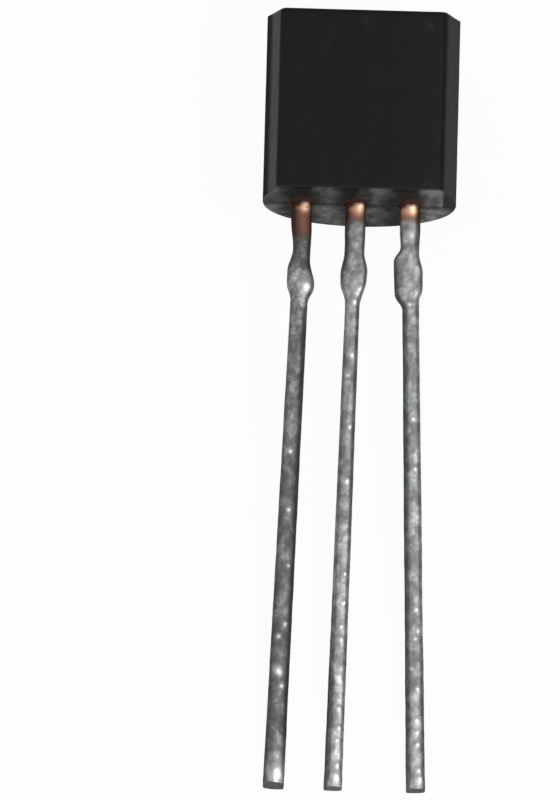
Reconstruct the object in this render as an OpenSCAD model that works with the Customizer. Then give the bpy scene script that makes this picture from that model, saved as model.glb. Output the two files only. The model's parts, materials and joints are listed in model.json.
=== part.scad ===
// TO-92 transistor: a black moulded body with a flat front and a round back, on three
// tinned copper leads that end in a stamped lead frame inside the body. It lies on its
// round back and its lead tips, flat front up, as it comes to rest on a bench.
//
// Each piece is drawn upright first: X runs across the leads, Y up the body (the leads
// go down), Z out of the flat front, with the lead frame at Z = 0. lying() then lays it down.

/* [Body] */
// Width at the parting line
body_w = 4.61; // [4.4:0.01:4.7]
// Height from the leaded end to the top end
body_h = 4.62; // [4.4:0.02:4.7]
// Distance from the parting line to the flat front
front_depth = 1.25; // [1.1:0.05:1.4]
// Straight flank between the parting line and the round back
flank = 0.06; // [0.02:0.01:0.2]
// How far each long bevel steps in towards the flat front
bevel_w = 0.33; // [0.1:0.01:0.5]
// Draft of the top end, from the parting line to the flat front
top_draft = 0.1; // [0.02:0.01:0.12]
// Draft of the leaded end, from the parting line to the flat front
lead_draft = 0.06; // [0.02:0.01:0.12]
// Draft of the two ends, from the parting line to the round back
rear_draft = 0.05; // [0.02:0.01:0.12]
// Corner radius of the outline at the parting line
corner_r = 0.03; // [0.02:0.01:0.15]

/* [Mould marks] */
// How far the mould's flash stands proud all round the parting line
flash = 0.01; // [0.005:0.005:0.03]
// Thickness of the flash
flash_t = 0.03; // [0.02:0.01:0.06]
// Diameter of the ejector pin's mark on the round back
ejector_d = 1.5; // [1:0.1:1.8]
// Depth of the ejector pin's mark at the crown of the back
ejector_sink = 0.16; // [0.15:0.01:0.25]
// Height of the ejector pin's mark above the middle of the body
ejector_y = 0.5; // [-0.5:0.1:1]
// Width of the scar that the mould's gate leaves on the top end
gate_w = 0.9; // [0.6:0.05:1.2]
// Size of the gate's scar through the body
gate_t = 0.44; // [0.3:0.02:0.6]
// Depth of the gate's scar
gate_deep = 0.05; // [0.03:0.01:0.08]

/* [Leads] */
// Pitch of the leads where they leave the body, nominally 1.27
lead_pitch = 1.3; // [1.25:0.01:1.32]
// How far the lead frame sits off the body's middle, to the right where positive
frame_x = -0.08; // [-0.1:0.01:0.1]
// Length of the leads below the body
lead_length = 14.25; // [12.7:0.05:15]
// Thickness of the lead frame's sheet
sheet_t = 0.38; // [0.36:0.01:0.42]
// Width of a lead where it leaves the body
root_w = 0.5; // [0.42:0.01:0.52]
// Radius that the tin gives a lead's long edges
edge_r = 0.07; // [0.03:0.01:0.12]
// Width just above the dam-bar stubs: emitter, base and collector lead
neck_w = [0.425, 0.48, 0.445]; // [0.36:0.005:0.5]
// Width just below the dam-bar stubs
shank_w = [0.42, 0.35, 0.4]; // [0.3:0.005:0.45]
// Width at the tips, where the tin is thickest
tip_w = [0.505, 0.44, 0.455]; // [0.3:0.005:0.52]
// Lean of each lead from straight down, in degrees, to the right where positive
lean = [-1.45, -0.8, 1.95]; // [-3:0.01:3]
// Sideways set that each lead has picked up by the end of its neck
set = [0.062, 0.009, -0.012]; // [-0.1:0.001:0.1]

/* [Dam-bar stubs] */
// Distance below the body where the emitter lead's left stub starts, is full, starts to fall and ends
emitter_stub_left = [1.15, 1.65, 1.95, 2.35]; // [1:0.05:3]
// The same for its right stub
emitter_stub_right = [1.4, 2.0, 2.05, 2.4]; // [1:0.05:3]
// The same for the base lead's left stub
base_stub_left = [1.2, 1.75, 1.95, 2.35]; // [1:0.05:3]
// The same for its right stub
base_stub_right = [1.2, 1.65, 1.85, 2.45]; // [1:0.05:3]
// The same for the collector lead's left stub
collector_stub_left = [1.05, 1.35, 2.2, 2.5]; // [1:0.05:3]
// The same for its right stub
collector_stub_right = [1.25, 1.6, 2.05, 2.3]; // [1:0.05:3]
// How far the left stubs stand out: emitter, base and collector lead
stub_left_out = [0.11, 0.1, 0.18]; // [0.05:0.005:0.2]
// How far the right stubs stand out
stub_right_out = [0.135, 0.11, 0.085]; // [0.05:0.005:0.2]

/* [Lead frame inside] */
// Width of the shoulder that locks each lead into the body
shoulder_w = 0.78; // [0.6:0.02:0.9]
// Height of the shoulder
shoulder_h = 0.36; // [0.32:0.02:0.5]
// Height of the shoulders' middle above the leaded end
shoulder_y = 1.05; // [0.8:0.05:1.2]
// Side of the bond pads that end the emitter and base leads
bond_pad = 0.7; // [0.6:0.02:0.8]
// Height of the emitter's bond pad above the middle of the body
emitter_pad_y = 0.55; // [0.3:0.05:0.8]
// Height of the base's bond pad above the middle of the body
base_pad_y = -0.55; // [-0.6:0.05:-0.5]
// Width of the collector's flag, which carries the die
flag_w = 2.2; // [2:0.05:2.3]
// Height of the flag
flag_h = 1.35; // [1.2:0.05:1.4]
// Height of the flag's middle above the middle of the body
flag_y = 0.95; // [0.9:0.05:1.1]
// Corner radius of the pads and the flag
pad_r = 0.1; // [0.05:0.01:0.15]

/* [Die and wires] */
// Side of the silicon die
die_side = 0.5; // [0.3:0.05:0.6]
// Thickness of the die
die_t = 0.2; // [0.15:0.01:0.25]
// Thickness of the silver epoxy under the die
attach_t = 0.03; // [0.02:0.005:0.05]
// How far the epoxy squeezes out round the die
attach_rim = 0.05; // [0.02:0.01:0.1]
// Distance of the die from the middle of the body, across the leads
die_x = 0.15; // [0:0.05:0.3]
// Diameter of the bond wires
wire_d = 0.04; // [0.03:0.005:0.05]
// Height that the wires arch over a straight line
wire_rise = 0.28; // [0.15:0.01:0.35]
// Diameter of the wires' ball and stitch ends
bond_d = 0.11; // [0.08:0.01:0.14]
// Thickness of the same ends
bond_t = 0.04; // [0.03:0.005:0.05]

/* [Hidden] */
$fn = 96;
eps = 0.01;

// The body's derived sizes
half_w = body_w / 2;
half_h = body_h / 2;
back_depth = flank + half_w;
face_half_w = half_w - bevel_w;

// Leads by number, from the left as the flat front is looked at
EMITTER = 0;
BASE = 1;
COLLECTOR = 2;
function lead_x(i) = frame_x + (i - BASE) * lead_pitch;
stub_left = [emitter_stub_left, base_stub_left, collector_stub_left];
stub_right = [emitter_stub_right, base_stub_right, collector_stub_right];

// Stretches of a lead: straight out of the body, then the root, the neck, the stubs and the shank
exit_end = 0.1;
root_end = 0.5;
neck_end = 1.1;
stubs_end = 2.6;
tip_round = 0.05;
stations = concat([exit_end, (exit_end + root_end) / 2],
                  [for (k = [0:4]) root_end + (neck_end - root_end) * k / 5],
                  [for (s = [neck_end:0.1:stubs_end]) s],
                  [for (k = [1:16]) stubs_end + (lead_length - tip_round - stubs_end) * k / 16],
                  [lead_length]);

// Die, epoxy and wires stand on the frame's front face
frame_front = sheet_t / 2;
die_top = frame_front + attach_t + die_t;
die_centre = [die_x, flag_y];
wire_steps = 16;
wire_sides = 8;
base_bond = [die_x + die_side / 5, flag_y - die_side / 4];
emitter_bond = [die_x - die_side / 5, flag_y + die_side / 5];

// Lying pose: the back's lower edge and the lead tips touch the bench
tip_y = -half_h - lead_length;
toe_y = tip_y + tip_round;
heel_y = -half_h + rear_draft;
tilt = atan((back_depth - sheet_t / 2) / (heel_y - toe_y));
lift = back_depth * cos(tilt) - heel_y * sin(tilt);
crown_reach = (half_h - rear_draft) * cos(tilt) + back_depth * sin(tilt);
tip_reach = tip_y * cos(tilt) - (sheet_t / 2 - tip_round) * sin(tilt);
shift = -(crown_reach + tip_reach) / 2;
module lying() translate([0, shift, lift]) rotate([tilt, 0, 0]) children();

// ---- Body ----

// Section across the leads: bevelled front, straight flanks, round back (drawn in X and Z)
module body_section() {
    polygon([[-half_w, 0], [-face_half_w, front_depth], [face_half_w, front_depth], [half_w, 0]]);
    translate([-half_w, -flank]) square([body_w, flank + eps]);
    intersection() {
        translate([0, -flank]) circle(r = half_w);
        translate([-half_w, -back_depth]) square([body_w, back_depth - flank]);
    }
}

// Section along the leads, which gives the two ends their draft (drawn in Z and Y)
module draft_section() {
    polygon([[0, half_h], [front_depth, half_h - top_draft],
             [front_depth, lead_draft - half_h], [0, -half_h],
             [-back_depth, rear_draft - half_h], [-back_depth, half_h - rear_draft]]);
}

// Outline at the parting line, grown by the given amount
module parting_outline(grow = 0) {
    w = body_w + 2 * grow;
    h = body_h + 2 * grow;
    r = corner_r + grow;
    square([w - 2 * r, h], center = true);
    square([w, h - 2 * r], center = true);
    for (sx = [-1, 1], sy = [-1, 1])
        translate([sx * (w / 2 - r), sy * (h / 2 - r)]) circle(r = r);
}

module moulding() {
    intersection() {
        rotate([90, 0, 0]) linear_extrude(body_h, center = true) body_section();
        rotate([0, -90, 0]) linear_extrude(body_w, center = true) draft_section();
        translate([0, 0, -back_depth]) linear_extrude(back_depth + front_depth) parting_outline();
    }
    linear_extrude(flash_t, center = true) parting_outline(flash);
}

module ejector_mark() {
    translate([0, ejector_y, -back_depth - eps])
        cylinder(d = ejector_d, h = ejector_sink + eps);
}

module gate_mark() {
    translate([0, half_h - gate_deep / 2 + flash, 0])
        cube([gate_w, gate_deep + 2 * flash, gate_t], center = true);
}

module body() {
    color([0.13, 0.13, 0.135]) lying() difference() {
        moulding();
        ejector_mark();
        gate_mark();
        for (i = [EMITTER, BASE, COLLECTOR]) lead_inside(i);
        die_solid();
        attach_solid();
        base_wire_solid();
        emitter_wire_solid();
    }
}

// ---- Leads ----

// Smooth step from 0 at a to 1 at b
function ease(a, b, s) = let (t = min(max((s - a) / (b - a), 0), 1)) t * t * (3 - 2 * t);

// Share of a stub's full reach at distance s below the body, from its four marks
function stub(marks, s) = ease(marks[0], marks[1], s) * (1 - ease(marks[2], marks[3], s));

// Width without the stubs: root to neck, neck to shank, then growing to the tip
function plain_w(i, s) =
    s < neck_end ? root_w + (neck_w[i] - root_w) * ease(root_end, neck_end, s)
                 : neck_w[i] + (shank_w[i] - neck_w[i]) * ease(neck_end, stubs_end, s)
                   + (tip_w[i] - shank_w[i]) * max(s - stubs_end, 0) / (lead_length - stubs_end);

// Middle of the lead, across the leads
function middle_x(i, s) =
    lead_x(i) + set[i] * ease(exit_end, neck_end, s) + tan(lean[i]) * (s - exit_end);

// The two long edges of the lead
function left_x(i, s) =
    middle_x(i, s) - plain_w(i, s) / 2 - stub_left_out[i] * stub(stub_left[i], s);
function right_x(i, s) =
    middle_x(i, s) + plain_w(i, s) / 2 + stub_right_out[i] * stub(stub_right[i], s);

// Rectangle of half thickness half_t with rounded corners, from x = a to x = b, as [x, z] points
function rounded_ring(a, b, half_t, r) =
    [for (c = [[b - r, half_t - r, 0], [a + r, half_t - r, 90], [a + r, r - half_t, 180],
               [b - r, r - half_t, 270]],
          turn = [0:45:90])
        [c[0] + r * cos(c[2] + turn), c[1] + r * sin(c[2] + turn)]];

// Section of lead i at distance s; the tin rounds off the last stretch
function lead_ring(i, s) =
    let (inset = s > lead_length - tip_round ? tip_round : 0)
    rounded_ring(left_x(i, s) + inset, right_x(i, s) - inset, sheet_t / 2 - inset, edge_r);

// Skin over a list of rings that all have the same number of points
module skin(rings) {
    n = len(rings[0]);
    last = len(rings) - 1;
    points = [for (ring = rings) each ring];
    sides = [for (k = [0:last - 1], j = [0:n - 1])
        let (a = k * n + j, b = k * n + (j + 1) % n)
        each [[a, b + n, b], [a, a + n, b + n]]];
    caps = [[for (j = [0:n - 1]) j], [for (j = [n - 1:-1:0]) last * n + j]];
    polyhedron(points, concat(sides, caps));
}

// The stretch of a lead below the body
module lead_outside(i) {
    skin([for (s = stations) [for (p = lead_ring(i, s)) [p[0], -half_h - s, p[1]]]]);
}

// Straight stretch through the body's leaded end
module lead_exit(i) {
    top = -half_h + shoulder_y;
    bottom = -half_h - exit_end;
    translate([0, top, 0]) rotate([90, 0, 0]) linear_extrude(top - bottom)
        polygon(rounded_ring(lead_x(i) - root_w / 2, lead_x(i) + root_w / 2, sheet_t / 2, edge_r));
}

module rounded_pad(size, centre) {
    translate(centre) {
        square([size[0] - 2 * pad_r, size[1]], center = true);
        square([size[0], size[1] - 2 * pad_r], center = true);
        for (sx = [-1, 1], sy = [-1, 1])
            translate([sx * (size[0] / 2 - pad_r), sy * (size[1] / 2 - pad_r)])
                circle(r = pad_r, $fn = 24);
    }
}

// Post of a lead from its shoulder up to the given height
module post(i, top) {
    bottom = -half_h + shoulder_y;
    translate([lead_x(i) - root_w / 2, bottom]) square([root_w, top - bottom]);
    rounded_pad([shoulder_w, shoulder_h], [lead_x(i), bottom]);
}

// What each lead is stamped to inside the body
module stamping(i) {
    if (i == EMITTER) {
        post(i, emitter_pad_y);
        rounded_pad([bond_pad, bond_pad], [lead_x(i), emitter_pad_y]);
    } else if (i == BASE) {
        post(i, base_pad_y);
        rounded_pad([bond_pad, bond_pad], [lead_x(i), base_pad_y]);
    } else {
        post(i, flag_y);
        rounded_pad([flag_w, flag_h], [lead_x(i) + root_w / 2 - flag_w / 2, flag_y]);
    }
}

module lead_inside(i) {
    linear_extrude(sheet_t, center = true) stamping(i);
    lead_exit(i);
}

module lead(i) {
    color([0.72, 0.71, 0.69]) lying() {
        lead_inside(i);
        lead_outside(i);
    }
}

module emitter_lead() lead(EMITTER);
module base_lead() lead(BASE);
module collector_lead() lead(COLLECTOR);

// ---- Die and bond wires ----

module die_solid() {
    translate([die_centre[0], die_centre[1], frame_front + attach_t + die_t / 2])
        cube([die_side, die_side, die_t], center = true);
}

module attach_solid() {
    side = die_side + 2 * attach_rim;
    translate([die_centre[0], die_centre[1], frame_front + attach_t / 2])
        cube([side, side, attach_t], center = true);
}

// Arch of wire between two bonds, each [x, y, height of the surface it stands on]
module bond_wire(from, to) {
    seat = bond_t * 0.6;
    across = to - from;
    run = norm([across[0], across[1]]);
    side = [-across[1], across[0], 0] / run;
    function arch(t) = from + across * t + [0, 0, seat + 4 * wire_rise * t * (1 - t)];
    function slope(t) = across + [0, 0, 4 * wire_rise * (1 - 2 * t)];
    function ring(t) =
        let (up = cross(slope(t), side) / norm(slope(t)))
        [for (k = [0:wire_sides - 1])
            arch(t) + wire_d / 2 * (cos(360 * k / wire_sides) * side + sin(360 * k / wire_sides) * up)];
    skin([for (k = [0:wire_steps]) ring(k / wire_steps)]);
    for (bond = [from, to])
        translate(bond) cylinder(d = bond_d, h = bond_t, $fn = wire_sides);
}

module base_wire_solid() {
    bond_wire([base_bond[0], base_bond[1], die_top], [lead_x(BASE), base_pad_y, frame_front]);
}

module emitter_wire_solid() {
    bond_wire([emitter_bond[0], emitter_bond[1], die_top],
              [lead_x(EMITTER), emitter_pad_y, frame_front]);
}

module silicon_die() color([0.36, 0.37, 0.42]) lying() die_solid();
module die_attach() color([0.75, 0.75, 0.76]) lying() attach_solid();
module base_bond_wire() color([0.9, 0.72, 0.35]) lying() base_wire_solid();
module emitter_bond_wire() color([0.9, 0.72, 0.35]) lying() emitter_wire_solid();

body();
emitter_lead();
base_lead();
collector_lead();
silicon_die();
die_attach();
base_bond_wire();
emitter_bond_wire();
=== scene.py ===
"""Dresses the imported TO-92 transistor: moulded body, tinned leads, die and bond wires.

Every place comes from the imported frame. Sizes are in millimetres in the part's own
upright axes: X runs across the leads, Y up the body (the leads go down) and Z out of
the flat front, with the lead frame's middle at Z = 0. Meshes are cut and shaped in
those axes and only then laid down into the frame, in metres.
"""

from __future__ import annotations

import json
import logging
import math
from collections.abc import Sequence
from dataclasses import dataclass, field
from enum import Enum

import bmesh
import bpy
import numpy as np
from mathutils import Matrix, Vector, noise

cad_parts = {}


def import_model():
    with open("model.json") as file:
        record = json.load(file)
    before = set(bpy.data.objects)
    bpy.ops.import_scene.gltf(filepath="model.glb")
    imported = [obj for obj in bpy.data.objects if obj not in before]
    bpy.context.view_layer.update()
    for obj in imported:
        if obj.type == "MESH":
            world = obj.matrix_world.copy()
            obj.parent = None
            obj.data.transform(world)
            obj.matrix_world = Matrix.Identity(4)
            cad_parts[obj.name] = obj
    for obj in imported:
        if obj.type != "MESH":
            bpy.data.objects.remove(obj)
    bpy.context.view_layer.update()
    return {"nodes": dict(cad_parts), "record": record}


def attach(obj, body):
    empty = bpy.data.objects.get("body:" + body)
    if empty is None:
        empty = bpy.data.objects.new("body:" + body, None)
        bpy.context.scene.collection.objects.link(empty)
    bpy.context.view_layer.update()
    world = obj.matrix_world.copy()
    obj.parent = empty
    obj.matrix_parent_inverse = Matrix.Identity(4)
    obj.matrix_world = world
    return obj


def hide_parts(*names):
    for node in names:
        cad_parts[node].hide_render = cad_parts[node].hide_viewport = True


LOG = logging.getLogger("to92")
MM = 0.001
ROOT = "root"
QUARTER = math.pi / 2.0
# Points closer than this are welded, in mm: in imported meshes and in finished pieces
WELD = 1e-4
FINE_WELD = 2e-5
# A point this close to the foremost or rearmost one lies in the same face, in mm
SAME_FACE = 0.002
# The ends' drafts differ, so the middle of the flat front sits this far below the body's
FACE_DROP = 0.02

Colour = tuple[float, float, float]
Triple = tuple[float, float, float]
Waves = tuple[tuple[float, float], ...]
WHITE = (1.0, 1.0, 1.0, 1.0)


# ---- The part's own axes ----


@dataclass(frozen=True)
class PartAxes:
    """The part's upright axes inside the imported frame, found from its two mounts.

    Attributes:
        origin: Middle of the body on the lead frame's plane, in the frame, in mm.
        up: Direction up the body.
        front_depth: Distance from the lead frame's middle to the flat front.
        half_height: Distance from the middle of the body to its leaded end.
    """

    origin: Vector
    up: Vector
    front_depth: float
    half_height: float

    @classmethod
    def from_record(cls, record: dict) -> PartAxes:
        """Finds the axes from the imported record.

        Args:
            record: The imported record, with the mounts flat_front and lead_row.

        Returns:
            The part's axes.
        """
        mounts = {mount["name"]: mount for mount in record["mounts"]}
        out = Vector(mounts["flat_front"]["axis"]).normalized()
        up = -Vector(mounts["lead_row"]["axis"]).normalized()
        face = Vector(mounts["flat_front"]["pos_m"]) / MM
        row = Vector(mounts["lead_row"]["pos_m"]) / MM
        front_depth = (face - row).dot(out)
        middle = face - front_depth * out + FACE_DROP * up
        return cls(middle, up, front_depth, (middle - row).dot(up))

    @property
    def tilt(self) -> float:
        """Angle that the part leans back by as it lies, in radians."""
        return math.atan2(self.up.z, self.up.y)

    @property
    def laid_down(self) -> Matrix:
        """Matrix from the part's upright axes in mm to the frame in metres."""
        turn = Matrix.Rotation(self.tilt, 4, "X")
        return Matrix.Scale(MM, 4) @ Matrix.Translation(self.origin) @ turn

    def place(self, point: Sequence[float]) -> Vector:
        """A point of the part, in mm, as a place in the frame, in metres."""
        return self.laid_down @ Vector(point)

    def node_mesh(self, node: bpy.types.Object) -> bmesh.types.BMesh:
        """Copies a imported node's mesh into the part's axes and welds it shut.

        Args:
            node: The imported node's object.

        Returns:
            A closed mesh in mm, which the caller frees.
        """
        mesh = bmesh.new()
        mesh.from_mesh(node.data)
        mesh.transform(self.laid_down.inverted())
        bmesh.ops.remove_doubles(mesh, verts=mesh.verts, dist=WELD)
        mesh.normal_update()
        return mesh


# ---- Mesh work ----


class Cut(Enum):
    """How one closed mesh works on another."""

    AWAY = "DIFFERENCE"
    TOGETHER = "UNION"


def bench_object(name: str, data: bpy.types.ID) -> bpy.types.Object:
    """Makes an object and links it to the scene.

    Args:
        name: Name of the object.
        data: Its mesh, light or camera.

    Returns:
        The linked object.
    """
    made = bpy.data.objects.new(name, data)
    bpy.context.scene.collection.objects.link(made)
    return made


def settled(name: str, work: bmesh.types.BMesh) -> bpy.types.Mesh:
    """Keeps a work mesh under a name and frees it.

    Args:
        name: Name of the mesh.
        work: The work mesh.

    Returns:
        The new mesh.
    """
    made = bpy.data.meshes.new(name)
    work.to_mesh(made)
    work.free()
    return made


def ring_faces(rings: int, count: int) -> list[tuple[int, ...]]:
    """Joins rings that all have the same number of points.

    Args:
        rings: Number of rings.
        count: Points in each ring.

    Returns:
        The faces between the rings.
    """
    faces = []
    for base in range(0, (rings - 1) * count, count):
        for k in range(count):
            a, b = base + k, base + (k + 1) % count
            faces.append((a, b, b + count, a + count))
    return faces


def mesh_of(name: str, points: np.ndarray, faces: Sequence[Sequence[int]]) -> bpy.types.Mesh:
    """Makes a mesh from points and faces, with its faces turned outwards.

    Args:
        name: Name of the mesh.
        points: Array of shape (n, 3).
        faces: Corner numbers of each face.

    Returns:
        The new mesh.
    """
    work = bmesh.new()
    corners = [work.verts.new(point) for point in points]
    for face in faces:
        work.faces.new([corners[k] for k in face])
    bmesh.ops.recalc_face_normals(work, faces=work.faces)
    return settled(name, work)


def work_on(base: bpy.types.Mesh, tools: Sequence[tuple[bpy.types.Mesh, Cut]]) -> bpy.types.Mesh:
    """Cuts closed meshes away from a base or joins them to it, one after another.

    Args:
        base: The mesh that is worked on.
        tools: The meshes that work on it, each with what it does.

    Returns:
        The finished mesh.
    """
    blank = bench_object("blank", base)
    helpers = []
    for number, (tool, cut) in enumerate(tools):
        helper = bench_object(f"tool_{number}", tool)
        step = blank.modifiers.new(f"cut_{number}", "BOOLEAN")
        step.object, step.operation, step.solver = helper, cut.value, "EXACT"
        helpers.append(helper)
    bpy.context.view_layer.update()
    ready = blank.evaluated_get(bpy.context.evaluated_depsgraph_get())
    made = bpy.data.meshes.new_from_object(ready)
    for item in [blank, *helpers]:
        bpy.data.objects.remove(item)
    return made


@dataclass(frozen=True)
class Finished:
    """What turns a mesh in the part's axes into a piece that rides on the frame.

    Attributes:
        axes: The part's axes.
        body: Name of the body that the piece rides on.
    """

    axes: PartAxes
    body: str = ROOT

    def piece(
        self,
        name: str,
        mesh: bpy.types.Mesh,
        finish: bpy.types.Material,
        node: str,
        slot: str,
        crease_deg: float,
    ) -> bpy.types.Object:
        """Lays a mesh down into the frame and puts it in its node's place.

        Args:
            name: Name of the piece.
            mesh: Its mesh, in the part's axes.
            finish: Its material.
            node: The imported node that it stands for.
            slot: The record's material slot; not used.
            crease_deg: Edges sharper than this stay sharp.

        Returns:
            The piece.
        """
        work = bmesh.new()
        work.from_mesh(mesh)
        bmesh.ops.remove_doubles(work, verts=work.verts, dist=FINE_WELD)
        bmesh.ops.dissolve_degenerate(work, edges=work.edges, dist=FINE_WELD / 2.0)
        if any(not edge.is_manifold for edge in work.edges):
            LOG.warning("%s isn't closed", name)
        work.transform(self.axes.laid_down)
        work.to_mesh(mesh)
        work.free()
        mesh.name = name
        mesh.materials.clear()
        mesh.materials.append(finish)
        mesh.polygons.foreach_set("material_index", [0] * len(mesh.polygons))
        mesh.shade_smooth()
        mesh.set_sharp_from_angle(angle=math.radians(crease_deg))
        made = bench_object(name, mesh)
        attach(made, self.body)
        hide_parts(node)
        return made


def ease(low: float, high: float, value: np.ndarray) -> np.ndarray:
    """Smooth step from 0 at low to 1 at high."""
    share = np.clip((value - low) / (high - low), 0.0, 1.0)
    return share * share * (3.0 - 2.0 * share)


def ripple(points: np.ndarray, waves: Waves, seed: int) -> np.ndarray:
    """Sums a few layers of smooth noise over points.

    Args:
        points: Array of shape (n, 3), in mm.
        waves: Wavelength and height of each layer, in mm.
        seed: Moves the pattern, so that two pieces differ.

    Returns:
        One height per point, in mm.
    """
    total = np.zeros(len(points))
    shift = Vector((17.3 * seed, -9.1 * seed, 4.7 * seed))
    for length, height in waves:
        layer = [noise.noise(Vector(point) / length + shift) for point in points]
        total += height * np.array(layer)
        shift += Vector((3.1, 5.9, 7.7))
    return total


# ---- Material graphs ----


@dataclass(frozen=True)
class Signal:
    """A number on a socket of a node tree, which takes part in Python arithmetic.

    Attributes:
        graph: The graph that the socket is in.
        socket: The output socket.
    """

    graph: Graph
    socket: bpy.types.NodeSocket

    def _maths(self, operation: str, first: Signal | float, second: Signal | float) -> Signal:
        """Adds one Math node and gives its result."""
        values = {"Value": first, "Value_001": second}
        return self.graph.signal("ShaderNodeMath", {"operation": operation}, values, "Value")

    def __add__(self, other: Signal | float) -> Signal:
        """Sum with a number on the right."""
        return self._maths("ADD", self, other)

    def __radd__(self, other: float) -> Signal:
        """Sum with a number on the left."""
        return self._maths("ADD", other, self)

    def __sub__(self, other: Signal | float) -> Signal:
        """Difference with a number on the right."""
        return self._maths("SUBTRACT", self, other)

    def __rsub__(self, other: float) -> Signal:
        """Difference with a number on the left."""
        return self._maths("SUBTRACT", other, self)

    def __mul__(self, other: Signal | float) -> Signal:
        """Product with a number on the right."""
        return self._maths("MULTIPLY", self, other)

    def __rmul__(self, other: float) -> Signal:
        """Product with a number on the left."""
        return self._maths("MULTIPLY", other, self)

    def __neg__(self) -> Signal:
        """The number with its sign turned."""
        return self._maths("MULTIPLY", self, -1.0)

    def __abs__(self) -> Signal:
        """The number without its sign."""
        return self._maths("ABSOLUTE", self, 0.0)

    def most(self, other: Signal | float) -> Signal:
        """The larger of two numbers."""
        return self._maths("MAXIMUM", self, other)

    def fade(self, low: float, high: float, start: float = 0.0, end: float = 1.0) -> Signal:
        """Steps smoothly from one number to another.

        Args:
            low: Value at which the step starts.
            high: Value at which it ends.
            start: Number before the step.
            end: Number after it.

        Returns:
            The stepped signal.
        """
        settings = {"interpolation_type": "SMOOTHSTEP", "clamp": True}
        values = {"From Min": low, "From Max": high, "To Min": start, "To Max": end}
        values["Value"] = self
        return self.graph.signal("ShaderNodeMapRange", settings, values, "Result")


@dataclass(frozen=True)
class Grain:
    """A smooth noise about 0.5 that runs through the part.

    Attributes:
        scale: Waves per mm.
        detail: Octaves of finer noise.
        rough: Weight of each finer octave.
        stretch: Scale of the point in each direction.
        shift: Moves the pattern.
    """

    scale: float
    detail: float = 2.0
    rough: float = 0.5
    stretch: Triple = (1.0, 1.0, 1.0)
    shift: Triple = (0.0, 0.0, 0.0)


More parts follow.
